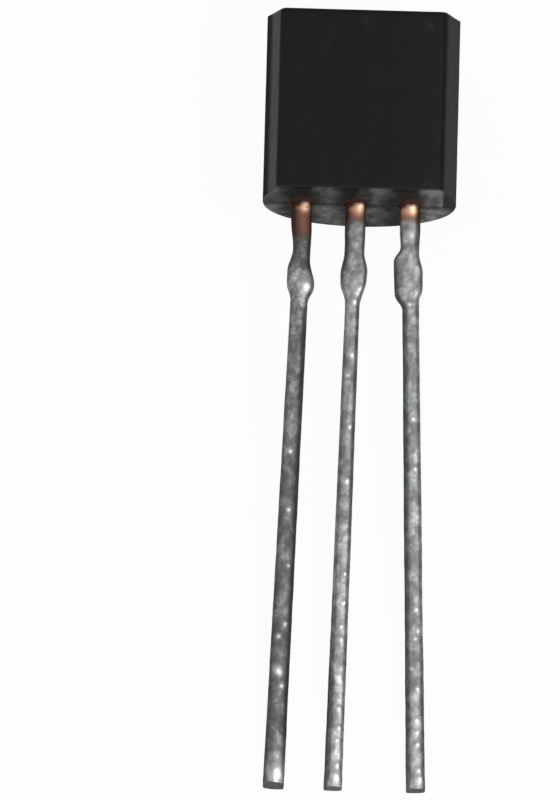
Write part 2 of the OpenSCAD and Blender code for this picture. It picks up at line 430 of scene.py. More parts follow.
class Graph:
    """The node tree of one material or world."""

    def __init__(self, owner: bpy.types.Material | bpy.types.World) -> None:
        """Empties the owner's node tree.

        Args:
            owner: The material or world.
        """
        owner.use_nodes = True
        self.tree = owner.node_tree
        self.tree.nodes.clear()

    def node(
        self, kind: str, settings: dict | None = None, inputs: dict | None = None
    ) -> bpy.types.Node:
        """Adds a node.

        Args:
            kind: The node's type.
            settings: Its own properties, set before its sockets.
            inputs: Values, signals or sockets by the identifier of the input they feed.

        Returns:
            The new node.
        """
        made = self.tree.nodes.new(kind)
        for name, value in (settings or {}).items():
            setattr(made, name, value)
        by_name = {socket.identifier: socket for socket in made.inputs}
        for name, value in (inputs or {}).items():
            source = value.socket if isinstance(value, Signal) else value
            if isinstance(source, bpy.types.NodeSocket):
                self.tree.links.new(source, by_name[name])
            else:
                by_name[name].default_value = source
        return made

    def signal(self, kind: str, settings: dict, inputs: dict, output: str) -> Signal:
        """Adds a node and gives one of its outputs as a signal.

        Args:
            kind: The node's type.
            settings: Its own properties.
            inputs: What feeds its inputs.
            output: Identifier of the output.

        Returns:
            The output as a signal.
        """
        made = self.node(kind, settings, inputs)
        return Signal(self, next(out for out in made.outputs if out.identifier == output))

    def part_point(self, axes: PartAxes) -> bpy.types.NodeSocket:
        """Gives the shaded point in the part's axes.

        Args:
            axes: The part's axes.

        Returns:
            A vector socket, in mm.
        """
        place = self.node("ShaderNodeTexCoord")
        turn = Matrix.Rotation(-axes.tilt, 3, "X")
        inputs = {
            "Vector": place.outputs["Object"],
            "Location": -(turn @ axes.origin),
            "Rotation": (-axes.tilt, 0.0, 0.0),
            "Scale": (1.0 / MM, 1.0 / MM, 1.0 / MM),
        }
        return self.node("ShaderNodeMapping", {"vector_type": "POINT"}, inputs).outputs[0]

    def along(self, point: bpy.types.NodeSocket) -> tuple[Signal, Signal, Signal]:
        """Splits a point.

        Args:
            point: A vector socket.

        Returns:
            Its X, Y and Z as signals.
        """
        split = self.node("ShaderNodeSeparateXYZ", inputs={"Vector": point})
        return tuple(Signal(self, socket) for socket in split.outputs)

    def grain(
        self, point: bpy.types.NodeSocket, grain: Grain, shift: Triple = (0.0, 0.0, 0.0)
    ) -> Signal:
        """Adds a grain.

        Args:
            point: The shaded point, in mm.
            grain: Size and strength of the noise.
            shift: Moves the pattern further.

        Returns:
            The noise as a signal.
        """
        moved = tuple(a + b for a, b in zip(grain.shift, shift))
        inputs = {"Vector": point, "Location": moved, "Scale": grain.stretch}
        spot = self.node("ShaderNodeMapping", {"vector_type": "POINT"}, inputs).outputs[0]
        inputs = {"Scale": grain.scale, "Detail": grain.detail, "Roughness": grain.rough}
        return self.signal("ShaderNodeTexNoise", {}, {"Vector": spot, **inputs}, "Fac")

    def stored(self, name: str) -> Signal:
        """Gives a number that the mesh stores at its points."""
        return self.signal("ShaderNodeAttribute", {"attribute_name": name}, {}, "Fac")

    def blend(
        self,
        share: Signal,
        first: Colour | bpy.types.NodeSocket,
        second: Colour | bpy.types.NodeSocket,
    ) -> bpy.types.NodeSocket:
        """Mixes two colours.

        Args:
            share: Share of the second colour.
            first: The first colour.
            second: The second colour.

        Returns:
            The mixed colour's socket.
        """
        settings = {"data_type": "RGBA", "clamp_factor": True}
        inputs = {
            "Factor_Float": share,
            "A_Color": (*first, 1.0) if isinstance(first, tuple) else first,
            "B_Color": (*second, 1.0) if isinstance(second, tuple) else second,
        }
        return self.signal("ShaderNodeMix", settings, inputs, "Result_Color").socket

    def coated(
        self,
        under: Colour | bpy.types.NodeSocket,
        coats: Sequence[tuple[Signal, Colour | bpy.types.NodeSocket]],
    ) -> bpy.types.NodeSocket:
        """Lays colours over a colour, one after another.

        Args:
            under: The colour underneath.
            coats: How much of each next colour covers, and the colour.

        Returns:
            The last colour's socket.
        """
        for share, colour in coats:
            under = self.blend(share, under, colour)
        return under

    def relief(self, height: Signal, depth: float) -> bpy.types.NodeSocket:
        """Turns a height from 0 to 1, which stands for a depth in mm, into a normal."""
        inputs = {"Height": height, "Distance": depth * MM, "Strength": 1.0}
        return self.node("ShaderNodeBump", inputs=inputs).outputs["Normal"]

    def surface(self, inputs: dict) -> None:
        """Ends the graph in a Principled shader with these inputs."""
        shader = self.node("ShaderNodeBsdfPrincipled", inputs=inputs)
        self.node("ShaderNodeOutputMaterial", inputs={"Surface": shader.outputs["BSDF"]})

    def either(
        self, share: Signal, first: bpy.types.Node, second: bpy.types.Node, end: str
    ) -> None:
        """Ends the graph in a mix of two shaders.

        Args:
            share: Share of the second shader.
            first: The first shader's node.
            second: The second shader's node.
            end: Type of the output node.
        """
        inputs = {"Fac": share, "Shader": first.outputs[0], "Shader_001": second.outputs[0]}
        mixed = self.node("ShaderNodeMixShader", inputs=inputs)
        self.node(end, inputs={"Surface": mixed.outputs[0]})


def new_finish(name: str) -> tuple[bpy.types.Material, Graph]:
    """Starts a material.

    Args:
        name: Name of the material.

    Returns:
        The material and its empty graph.
    """
    made = bpy.data.materials.new(name)
    return made, Graph(made)


@dataclass(frozen=True)
class RubSheen:
    """A patch on the leaded end that is abraded and carries painted sheen.

    Attributes:
        x: Its middle, across the leads.
        half_width: Half its width.
        front: How abraded and sheened it is in front of the parting line, from 0 to 1.
        behind: The same behind the parting line.
    """

    x: float
    half_width: float
    front: float
    behind: float


@dataclass(frozen=True)
class Smudge:
    """A faint mark on the flat front.

    Attributes:
        x: Its middle, across the leads.
        y: Its middle, up the body.
        radius: Its radius across.
        strength: How clearly it shows, from 0 to 1.
    """

    x: float
    y: float
    radius: float
    strength: float


@dataclass(frozen=True)
class MouldingCompound:
    """Black mineral-filled epoxy as it comes out of the mould, lightly abraded, with painted sheen
    and painted copper reflections.

    Attributes:
        resin: Colour of the resin.
        filler: Colour of the filler where it shows.
        scuff_and_sheen: Colour of the abraded leaded end, lightened as painted sheen, and of the
            faint marks.
        rosy_sheen: Colour of parts of it, a painted reflection of the copper leads.
        copper_reflection: Colour of the painted reflection of the copper round the leads.
        right_flank_sheen: Colour of the painted sheen on the right flank.
        specular: How much the surface mirrors.
        leaded_from: Distances from the leaded end at which its scuffs and painted sheen start and
            are full.
        behind_from: Distances behind the parting line at which the back starts.
        seam_shade_level: Distance behind the lead frame at which the painted shade line along the
            leaded end is darkest.
        front_from: Distances behind the flat front at which its marks start and are full.
        dull_lines: Distances in front of the parting line up to which the mould is worn dull.
        wander: How far the sides of the scuffs and painted sheen stray with the mottle and the
            cloud, in mm.
        reflection_reach: How far the painted copper reflection reaches from a lead's middle, across
            the leads and to the front.
        rub_sheens: The abraded patches that carry painted sheen.
        smudges: The faint marks.
        depth: Depth of the surface's grain, in mm.
        fine: The filler's grain.
        grit: The coarser grain of the mould.
        mottle: Where the scuffs and painted sheen are patchy.
        cloud: Slow changes of the whole surface.
        rosy: Where the painted sheen takes the painted copper reflection.
    """

    resin: Colour = (0.0055, 0.0055, 0.0057)
    filler: Colour = (0.0145, 0.0143, 0.0133)
    scuff_and_sheen: Colour = (0.33, 0.325, 0.31)
    rosy_sheen: Colour = (0.3, 0.265, 0.29)
    copper_reflection: Colour = (0.1, 0.036, 0.026)
    right_flank_sheen: Colour = (0.036, 0.036, 0.035)
    specular: float = 0.19
    leaded_from: tuple[float, float] = (0.145, 0.065)
    behind_from: tuple[float, float] = (0.0, 0.08)
    seam_shade_level: float = 0.1
    front_from: tuple[float, float] = (0.1, 0.02)
    dull_lines: tuple[float, float] = (0.7, 0.21)
    wander: tuple[float, float] = (0.4, 0.9)
    reflection_reach: tuple[float, float] = (0.4, 0.75)
    rub_sheens: tuple[RubSheen, ...] = (
        RubSheen(-2.12, 0.4, 0.5, 0.9),
        RubSheen(-0.72, 0.42, 0.45, 1.0),
        RubSheen(0.42, 0.36, 0.5, 0.6),
        RubSheen(1.82, 0.52, 0.85, 1.0),
    )
    smudges: tuple[Smudge, ...] = (
        Smudge(1.55, 1.83, 0.14, 0.13),
        Smudge(0.09, 2.0, 0.2, 0.06),
        Smudge(-1.0, 1.4, 0.3, 0.03),
        Smudge(1.7, -2.1, 0.35, 0.05),
    )
    depth: float = 0.006
    fine: Grain = Grain(34.0, 5.0, 0.62)
    grit: Grain = Grain(12.0, 3.0, 0.6)
    mottle: Grain = Grain(4.5, 3.0, 0.55, (1.0, 1.0, 0.45), (9.0, 4.0, 2.0))
    cloud: Grain = Grain(1.3, 3.0, 0.55, shift=(3.0, 1.0, 7.0))
    rosy: Grain = Grain(3.0, 2.0, 0.5, (1.0, 1.0, 0.6), (5.0, 8.0, 1.0))

    def material(
        self, axes: PartAxes, exits: Sequence[float], face_edge: float
    ) -> bpy.types.Material:
        """Builds the material.

        Args:
            axes: The part's axes.
            exits: X of each lead's middle where it leaves the body.
            face_edge: Half the width of the flat front.

        Returns:
            The material.
        """
        made, graph = new_finish("moulding_compound_finish")
        point = graph.part_point(axes)
        x, y, z = graph.along(point)
        fine, mottle = graph.grain(point, self.fine), graph.grain(point, self.mottle)
        cloud, rosy = graph.grain(point, self.cloud), graph.grain(point, self.rosy)

        # Where on the body the point is, each from 0 to 1
        leaded = (-y).fade(*(axes.half_height - gap for gap in self.leaded_from))
        behind = (-z).fade(*self.behind_from)
        on_front = z.fade(*(axes.front_depth - gap for gap in self.front_from))
        on_right = x.fade(face_edge - 0.03, face_edge + 0.06)
        # Painted reflection of the copper leads on the leaded end
        reflected = self._copper_reflection_round_leads(x, z, exits) * leaded

        # How much each colour covers
        filled = fine.fade(0.42, 0.72) * cloud.fade(0.3, 0.7, 0.3, 1.0)
        # The compound is made lighter towards the right
        filled = filled + x.fade(0.2, 2.2, 0.0, 0.25)
        broken = fine.fade(0.3, 0.7, 0.3, 1.0) * mottle.fade(0.4, 0.6, 0.1, 0.6)
        smudged = self._smudged(x, y) * on_front * broken
        strayed = x + self.wander[0] * (mottle - 0.5) + self.wander[1] * (cloud - 0.5)
        # Abraded leaded end, lightened as painted sheen, with a rosy painted reflection of the
        # copper
        rub_sheen = self._summed_rub_sheen(strayed, behind) * (mottle.fade(0.3, 0.66, 0.3, 1.0) * leaded)
        # Painted shade line along the parting line on the leaded end
        rub_sheen = rub_sheen * abs(z + self.seam_shade_level).fade(0.08, 0.32, 0.45, 1.0)
        sheen_colour = graph.blend(rosy.fade(0.45, 0.7), self.scuff_and_sheen, self.rosy_sheen)
        # Painted sheen on the right flank
        right_sheen = on_right * (z.fade(1.26, 1.0) * behind.fade(0.5, 0.0))
        coats = (
            (filled, self.filler),
            (smudged, self.scuff_and_sheen),
            (rub_sheen, sheen_colour),
            (reflected * (0.5 + 0.5 * mottle), self.copper_reflection),
            (right_sheen, self.right_flank_sheen),
        )
        worn = z.fade(0.0, 0.03) * z.fade(*self.dull_lines)
        worn = worn * (1.0 - leaded) * (1.0 - 0.85 * on_right)
        roughness = 0.3 + 0.16 * mottle + 0.1 * fine + 0.28 * leaded + 0.55 * worn + 0.32 * on_right
        height = 0.55 * fine + 0.45 * graph.grain(point, self.grit)
        graph.surface(
            {
                "Base Color": graph.coated(self.resin, coats),
                "Roughness": roughness,
                "Specular IOR Level": self.specular,
                "Normal": graph.relief(height, self.depth),
            }
        )
        return made

    def _summed_rub_sheen(self, x: Signal, behind: Signal) -> Signal:
        """Adds up the abraded patches with their painted sheen.

        Args:
            x: Distance across the leads.
            behind: 1 behind the parting line and 0 in front of it.

        Returns:
            How abraded and sheened the leaded end is, from 0 to 1.
        """
        total = 0.0
        for rub_sheen_patch in self.rub_sheens:
            patch = abs(x - rub_sheen_patch.x).fade(1.25 * rub_sheen_patch.half_width, 0.0)
            total = total + patch * (rub_sheen_patch.front + (rub_sheen_patch.behind - rub_sheen_patch.front) * behind)
        return total

    def _smudged(self, x: Signal, y: Signal) -> Signal:
        """Adds up the faint marks.

        Args:
            x: Distance across the leads.
            y: Distance up the body.

        Returns:
            How clearly a mark shows, from 0 to 1.
        """
        total = 0.0
        for smudge in self.smudges:
            aside = (x - smudge.x) * (1.0 / smudge.radius)
            above = (y - smudge.y) * (0.6 / smudge.radius)
            total = total + (aside * aside + above * above).fade(1.0, 0.0, 0.0, smudge.strength)
        return total

    def _copper_reflection_round_leads(self, x: Signal, z: Signal, exits: Sequence[float]) -> Signal:
        """Marks the painted reflection of the copper round the leads.

        Args:
            x: Distance across the leads.
            z: Distance from the lead frame's plane.
            exits: X of each lead's middle where it leaves the body.

        Returns:
            1 at a lead and 0 beyond the painted reflection.
        """
        total = 0.0
        for middle in exits:
            aside, ahead = (x - middle) * (1.0 / self.reflection_reach[0]), z * (1.0 / self.reflection_reach[1])
            total = total + (aside * aside + ahead * ahead).fade(1.0, 0.2)
        return total


# What a lead's mesh stores at its points, each from 0 to 1; shade is painted shade and gleam a
# painted highlight
LEAD_MARKS = ("shade", "pearl", "sheared", "grey", "gleam")


@dataclass(frozen=True)
class TinOverCopper:
    """Hot-dipped tin on a copper lead, which stops short of the body.

    The lead's mesh says where each of LEAD_MARKS is found, from 0 to 1.

    Attributes:
        tin: Colour of the tin.
        bright_tin_and_glint: Colour of the brightest grains, and of the painted highlights on the
            beads and the streak.
        dull: Colour of tin that has gone grey.
        pit: Colour of the tin's fine pits.
        green: A greenish patch.
        lilac: A lilac patch.
        shade_and_tarnish: Colour of the painted shade down the lead's dark sides, and of its
            tarnished sheared end.
        copper: Colour of bare copper.
        copper_glint: Colour of the painted highlights on the bare copper's beads.
        brown: Colour of copper that has darkened next to the tin.
        copper_shade: Colour of the painted shade down the bare copper's dark sides.
        start: Distance below the body at which the tin starts.
        shift: Moves the patterns, so that the leads differ.
        depth: Depth of the tin's grain, in mm.
        slow: Where it is duller over a long stretch.
        tint: Where it is greenish or lilac.
        blotch: Its blotches.
        fleck: Its pits and bright grains.
        fine: Its finest grain.
    """

    tin: Colour = (0.66, 0.65, 0.63)
    bright_tin_and_glint: Colour = (0.86, 0.85, 0.83)
    dull: Colour = (0.38, 0.38, 0.375)
    pit: Colour = (0.2, 0.2, 0.198)
    green: Colour = (0.40, 0.49, 0.45)
    lilac: Colour = (0.47, 0.43, 0.50)
    shade_and_tarnish: Colour = (0.085, 0.085, 0.083)
    copper: Colour = (0.66, 0.335, 0.205)
    copper_glint: Colour = (0.95, 0.65, 0.46)
    brown: Colour = (0.26, 0.135, 0.105)
    copper_shade: Colour = (0.055, 0.022, 0.018)
    start: float = 0.6
    shift: Triple = (0.0, 0.0, 0.0)
    depth: float = 0.011
    slow: Grain = Grain(0.75)
    tint: Grain = Grain(1.6, shift=(11.0, 11.0, 11.0))
    blotch: Grain = Grain(3.6, 3.0, 0.65, (1.0, 0.6, 1.0))
    fleck: Grain = Grain(5.5, 2.0, 0.5, (1.0, 0.75, 1.0), (5.0, 5.0, 5.0))
    fine: Grain = Grain(14.0)

    def material(self, name: str, axes: PartAxes) -> bpy.types.Material:
        """Builds the material.

        Args:
            name: Name of the lead.
            axes: The part's axes.

        Returns:
            The material.
        """
        made, graph = new_finish(f"{name}_finish")
        point = graph.part_point(axes)
        _, y, _ = graph.along(point)
        reach = -y - axes.half_height
        shade, pearl, sheared, grey, gleam = (graph.stored(mark) for mark in LEAD_MARKS)
        slow, tint, blotch, fleck, fine = (
            graph.grain(point, grain, self.shift)
            for grain in (self.slow, self.tint, self.blotch, self.fleck, self.fine)
        )
        tin = (
            (blotch.fade(0.34, 0.66), self.dull),
            (tint.fade(0.54, 0.66, 0.0, 0.6), self.green),
            (tint.fade(0.46, 0.36, 0.0, 0.6), self.lilac),
            (slow.fade(0.5, 0.7, 0.0, 0.4), self.dull),
            (fleck.fade(0.44, 0.64, 0.0, 0.6), self.pit),
            (fleck.fade(0.46, 0.32, 0.0, 0.6), self.bright_tin_and_glint),
            (fine.fade(0.4, 0.7, 0.0, 0.3), self.pit),
            ((0.85 * grey) * blotch.fade(0.3, 0.6, 0.6, 1.0), self.pit),
            # Painted highlights on the streak and the beads
            (0.6 * gleam, self.bright_tin_and_glint),
            (0.8 * pearl, self.bright_tin_and_glint),
            # Painted shade down the dark sides, over the sheared end's real tarnish
            ((0.9 * shade).most(0.9 * sheared), self.shade_and_tarnish),
        )
        bare = (
            (reach.fade(0.1, self.start), self.brown),
            (blotch.fade(0.45, 0.7, 0.0, 0.6).most(grey), self.brown),
            # Painted highlights on the beads at the bare copper
            (pearl, self.copper_glint),
            # Painted shade down the bare copper's dark sides
            (0.95 * shade, self.copper_shade),
        )
        uneven = reach + 0.35 * blotch + 0.12 * fine - 0.24
        tinned = uneven.fade(self.start - 0.18, self.start + 0.12)
        dulled = 0.36 + 0.2 * blotch + 0.14 * fine + 0.1 * shade
        bare_colour, tin_colour = graph.coated(self.copper, bare), graph.coated(self.tin, tin)
        graph.surface(
            {
                "Base Color": graph.blend(tinned, bare_colour, tin_colour),
                "Metallic": 1.0 - 0.35 * sheared,
                "Roughness": dulled - 0.1 * pearl - 0.08 * gleam,
                "Normal": graph.relief(0.4 * blotch + 0.35 * fleck + 0.25 * fine, self.depth),
            }
        )
        return made


@dataclass(frozen=True)
class SpeckledFinish:
    """A small hidden piece's finish: two close colours, speckled, on a worked surface.

    Attributes:
        name: Name of the finish.
        first: Its main colour.
        second: Colour of the speckle.
        metallic: How metallic it is.
        roughness: Its mean roughness.
        scale: Speckles per mm.
        stretch: Draws the speckle out in a direction, as saw or draw marks are.
        depth: Depth of the marks, in mm.
    """

    name: str
    first: Colour
    second: Colour
    metallic: float
    roughness: float
    scale: float
    stretch: Triple = (1.0, 1.0, 1.0)
    depth: float = 0.001

    def material(self, axes: PartAxes) -> bpy.types.Material:
        """Builds the material.

        Args:
            axes: The part's axes.

        Returns:
            The material.
        """
        made, graph = new_finish(self.name)
        point = graph.part_point(axes)
        speck = graph.grain(point, Grain(self.scale, 4.0, 0.6, self.stretch))
        broad = graph.grain(point, Grain(self.scale / 8.0))
        graph.surface(
            {
                "Base Color": graph.blend(speck.fade(0.38, 0.66), self.first, self.second),
                "Metallic": self.metallic,
                "Roughness": self.roughness - 0.1 + 0.2 * broad,
                "Normal": graph.relief(speck, self.depth),
            }
        )
        return made


SILICON = SpeckledFinish(
    "silicon_finish", (0.10, 0.105, 0.13), (0.16, 0.16, 0.19), 0.6, 0.25, 30.0, (1.0, 1.0, 6.0)
)
SILVER_EPOXY = SpeckledFinish(
    "silver_epoxy_finish", (0.50, 0.50, 0.51), (0.68, 0.68, 0.69), 0.7, 0.5, 60.0, depth=0.003
)
GOLD_WIRE = SpeckledFinish(
    "gold_wire_finish", (0.88, 0.62, 0.24), (0.80, 0.52, 0.18), 1.0, 0.25, 50.0, (1.0, 0.2, 0.2)
)


# ---- Moulded body ----


@dataclass
class MouldedBody:
    """The black body: flat bevelled front, drafted ends, flash line and round back.

    Attributes:
        half_width: Half the width at the parting line, without the flash.
        face_half_width: Half the width of the flat front.
        front_depth: Distance from the parting line to the flat front.
        back_depth: Distance from the parting line to the back's crown.
        half_height: Half the height at the parting line.
        top_draft: How far the flat front's top edge sits below the top end.
        lead_draft: How far its lower edge sits above the leaded end.
        rear_draft: What the back's crown loses in half height.
        flash: How far the mould's flash stands proud.
        flash_half: Half the thickness of the flash.
        bulge: How much the bevels bulge, where 1 is flat.
        front_corner: Radius along the edges of the flat front.
        end_round: Radius where the ends meet the front and the bevels.
        parting_round: Radius of the outline's corners at the parting line.
        parting_reach: How far from the parting line that radius holds.
        back_round: Radius where the ends meet the round back.
        face_steps: Columns across each half of the flat front.
        bevel_steps: Rows down each bevel.
        arc_steps: Rows round each quarter of the back.
        side_steps: Rings up the body.
        round_steps: Rings round each end's edge.
        corner_steps: Rows round the edge between the flat front and a bevel.
        seed: Moves the surface's unevenness.
        waves: Wavelength and height of that unevenness.
        highest: Height at which it is cut off.
        sunk: How far the whole surface is drawn in below it.
    """

    half_width: float
    face_half_width: float
    front_depth: float
    back_depth: float
    half_height: float
    top_draft: float
    lead_draft: float
    rear_draft: float
    flash: float
    flash_half: float = 0.02
    bulge: float = 1.2
    front_corner: float = 0.2
    end_round: float = 0.09
    parting_round: float = 0.035
    parting_reach: float = 0.3
    back_round: float = 0.05
    face_steps: int = 22
    bevel_steps: int = 16
    arc_steps: int = 46
    side_steps: int = 72
    round_steps: int = 6
    corner_steps: int = 14
    seed: int = 3
    waves: Waves = ((1.7, 0.0035), (0.45, 0.0016), (0.2, 0.0006))
    highest: float = 0.004
    sunk: float = 0.002

    @classmethod
    def from_node(cls, node: bpy.types.Object, axes: PartAxes) -> MouldedBody:
        """Reads the body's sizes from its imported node.

        Args:
            node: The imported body.
            axes: The part's axes.

        Returns:
            The body, with the node's own sizes.
        """
        mesh = axes.node_mesh(node)
        points = np.array([vertex.co for vertex in mesh.verts])
        mesh.free()
        across, up, out = np.abs(points[:, 0]), points[:, 1], points[:, 2]
        front = out > axes.front_depth - SAME_FACE
        crown = out < out.min() + SAME_FACE
        flash = up.max() - axes.half_height
        return cls(
            half_width=across.max() - flash,
            face_half_width=across[front].max(),
            front_depth=axes.front_depth,
            back_depth=-out.min(),
            half_height=axes.half_height,
            top_draft=axes.half_height - up[front].max(),
            lead_draft=axes.half_height + up[front].min(),
            rear_draft=axes.half_height - up[crown].max(),
            flash=flash,
        )

    def _bevel_x(self, level: float) -> float:
        """Half width of the bulging bevels at a distance from the lead frame."""
        lost = self.half_width - self.face_half_width
        return self.half_width - lost * (level / self.front_depth) ** self.bulge

    def _bevel_lean(self, level: float) -> float:
        """Angle of the bevel's normal above the lead frame's plane, in radians."""
        steepest = self.bulge * (self.half_width - self.face_half_width) / self.front_depth
        return math.atan(steepest * (level / self.front_depth) ** (self.bulge - 1.0))

    def _shoulder(self) -> tuple[float, float]:
        """Fits the round edge between the flat front and a bevel.

        Returns:
            X of the round edge's centre, and the distance from the lead frame at
            which it meets the bevel.
        """
        seam, radius = self.front_depth, self.front_corner
        for _ in range(40):
            seam = self.front_depth - radius * (1.0 - math.sin(self._bevel_lean(seam)))
        return self._bevel_x(seam) - radius * math.cos(self._bevel_lean(seam)), seam

    def _half_section(self) -> tuple[np.ndarray, np.ndarray, np.ndarray]:
        """Draws the right half of the section, from the front's middle to the crown.

        Returns:
            The points (x, z), their outward normals and their flash weights.
        """
        points, normals = [], []
        wide, radius, steps = self.half_width, self.front_corner, self.bevel_steps
        middle, seam = self._shoulder()
        for k in range(self.face_steps):
            points.append((middle * k / self.face_steps, self.front_depth))
            normals.append((0.0, 1.0))
        lowest, centre = self._bevel_lean(seam), (middle, self.front_depth - radius)
        for k in range(self.corner_steps + 1):
            angle = QUARTER - (QUARTER - lowest) * k / self.corner_steps
            turn = (math.cos(angle), math.sin(angle))
            points.append(tuple(c + radius * t for c, t in zip(centre, turn)))
            normals.append(turn)
        near_flash = (0.3, 0.6, 1.0, 1.4, 2.0)
        low = near_flash[-1] * self.flash_half
        levels = [seam + (low - seam) * k / steps for k in range(1, steps + 1)]
        levels += [self.flash_half * share for share in (*near_flash[-2::-1], 0.0)]
        for level in levels:
            lean = self._bevel_lean(level)
            points.append((self._bevel_x(level), level))
            normals.append((math.cos(lean), math.sin(lean)))
        for share in near_flash:
            points.append((wide, -self.flash_half * share))
            normals.append((1.0, 0.0))
        flank = self.back_depth - wide
        for k in range(self.arc_steps + 1):
            angle = QUARTER * k / self.arc_steps
            points.append((wide * math.cos(angle), -flank - wide * math.sin(angle)))
            normals.append((math.cos(angle), -math.sin(angle)))
        spots = np.array(points)
        ridge = np.clip(1.0 - (np.abs(spots[:, 1]) / self.flash_half) ** 2, 0.0, 1.0)
        return spots, np.array(normals), ridge

    def _end_height(self, level: np.ndarray, side: float) -> np.ndarray:
        """Half height of the drafted body at each distance from the lead frame.

        Args:
            level: Distances in front of the lead frame.
            side: -1 for the leaded end and 1 for the top end.

        Returns:
            The distance of that end from the body's middle.
        """
        draft = self.top_draft if side > 0.0 else self.lead_draft
        front = draft * np.clip(level, 0.0, None) / self.front_depth
        back = self.rear_draft * np.clip(-level, 0.0, None) / self.back_depth
        return self.half_height - front - back

    def _rounding(self, level: np.ndarray) -> np.ndarray:
        """Radius of the ends' edges at each distance from the lead frame."""
        base = np.where(level > 0.0, self.end_round, self.back_round)
        return base + (self.parting_round - base) * np.exp(-((level / self.parting_reach) ** 2))

    def _rings(
        self, half: np.ndarray, normals: np.ndarray, ridge: np.ndarray
    ) -> tuple[list[np.ndarray], list[np.ndarray]]:
        """Turns the half section into the rings between the two end faces.

        Args:
            half: The half section's points (x, z).
            normals: Their outward normals.
            ridge: Their flash weights.

        Returns:
            The rings' points and the outward normals, each a list of (n, 3) arrays.
        """
        mirror = slice(-2, 0, -1)
        flip = np.array([-1.0, 1.0])
        loop = np.vstack([half, half[mirror] * flip])
        out = np.vstack([normals, normals[mirror] * flip])
        weight = np.concatenate([ridge, ridge[mirror]])
        radius = self._rounding(loop[:, 1])
        # Each row's end, its angle round that end's edge, and its share of the way up
        bends = [QUARTER * k / self.round_steps for k in range(self.round_steps + 1)]
        rows = [(-1.0, QUARTER - bend, None) for bend in bends]
        rows += [(0.0, 0.0, 2.0 * k / self.side_steps - 1.0) for k in range(1, self.side_steps)]
        rows += [(1.0, bend, None) for bend in bends]
        rings, turns = [], []
        for side, angle, share in rows:
            spot = loop - out * (radius * (1.0 - math.cos(angle)))[:, None]
            top, low = self._end_height(spot[:, 1], 1.0), self._end_height(spot[:, 1], -1.0)
            if share is None:
                level = side * ((top if side > 0.0 else low) - radius * (1.0 - math.sin(angle)))
            else:
                level = (top - radius) * (1.0 + share) / 2.0 - (low - radius) * (1.0 - share) / 2.0
            rise, flat = np.full(len(out), side * math.sin(angle)), out * math.cos(angle)
            turn = np.column_stack([flat[:, 0], rise, flat[:, 1]])
            ring = np.column_stack([spot[:, 0], level, spot[:, 1]])
            rings.append(ring + turn * (self.flash * weight)[:, None])
            turns.append(turn)
        return rings, turns

    def _shell(self) -> bpy.types.Mesh:
        """Builds the closed outer shape.

        Returns:
            The mesh, in the part's axes.
        """
        half, normals, ridge = self._half_section()
        rings, turns = self._rings(half, normals, ridge)
        count = len(rings[0])
        points, outward = list(np.vstack(rings)), list(np.vstack(turns))
        faces = ring_faces(len(rings), count)
        for base, side in ((0, -1.0), ((len(rings) - 1) * count, 1.0)):
            faces += self._end_face(base, count, len(half), points)
            outward += [np.array([0.0, side, 0.0])] * (len(points) - len(outward))
        spots = np.array(points)
        lift = np.minimum(ripple(spots, self.waves, self.seed), self.highest) - self.sunk
        return mesh_of("moulding", spots + np.array(outward) * lift[:, None], faces)

    def _end_face(
        self, base: int, count: int, half_count: int, points: list[np.ndarray]
    ) -> list[tuple[int, ...]]:
        """Fills one end with rows that run across at equal distance from the lead frame.

        Args:
            base: Number of the end ring's first point.
            count: Points in the ring.
            half_count: Points in the half section.
            points: All points so far, which the rows' inner points join.

        Returns:
            The faces.
        """
        faces, columns = [], 2 * self.face_steps
        above = [base + (k % count) for k in range(-self.face_steps, self.face_steps + 1)]
        for k in range(self.face_steps + 1, half_count - 1):
            right, left = base + k, base + count - k
            row = [left]
            for share in (column / columns for column in range(1, columns)):
                row.append(len(points))
                points.append(points[left] * (1.0 - share) + points[right] * share)
            row.append(right)
            faces += list(zip(above, above[1:], row[1:], row))
            above = row
        crown = base + half_count - 1
        return faces + [(left, right, crown) for left, right in zip(above, above[1:])]

    def build(
        self,
        finished: Finished,
        finish: bpy.types.Material,
        inside: Sequence[bpy.types.Object],
        marks: Sequence[bpy.types.Mesh],
    ) -> bpy.types.Object:
        """Builds the body and opens it for what it holds.

        Args:
            finished: Makes the piece.
            finish: The moulding compound.
            inside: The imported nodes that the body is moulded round.
            marks: Closed meshes of the mould's marks, which are cut away.

        Returns:
            The piece.
        """
        pockets = [settled("pocket", finished.axes.node_mesh(held)) for held in inside]
        mesh = work_on(self._shell(), [(tool, Cut.AWAY) for tool in (*marks, *pockets)])
        return finished.piece("moulded_body", mesh, finish, "body", "moulding_compound", 40.0)


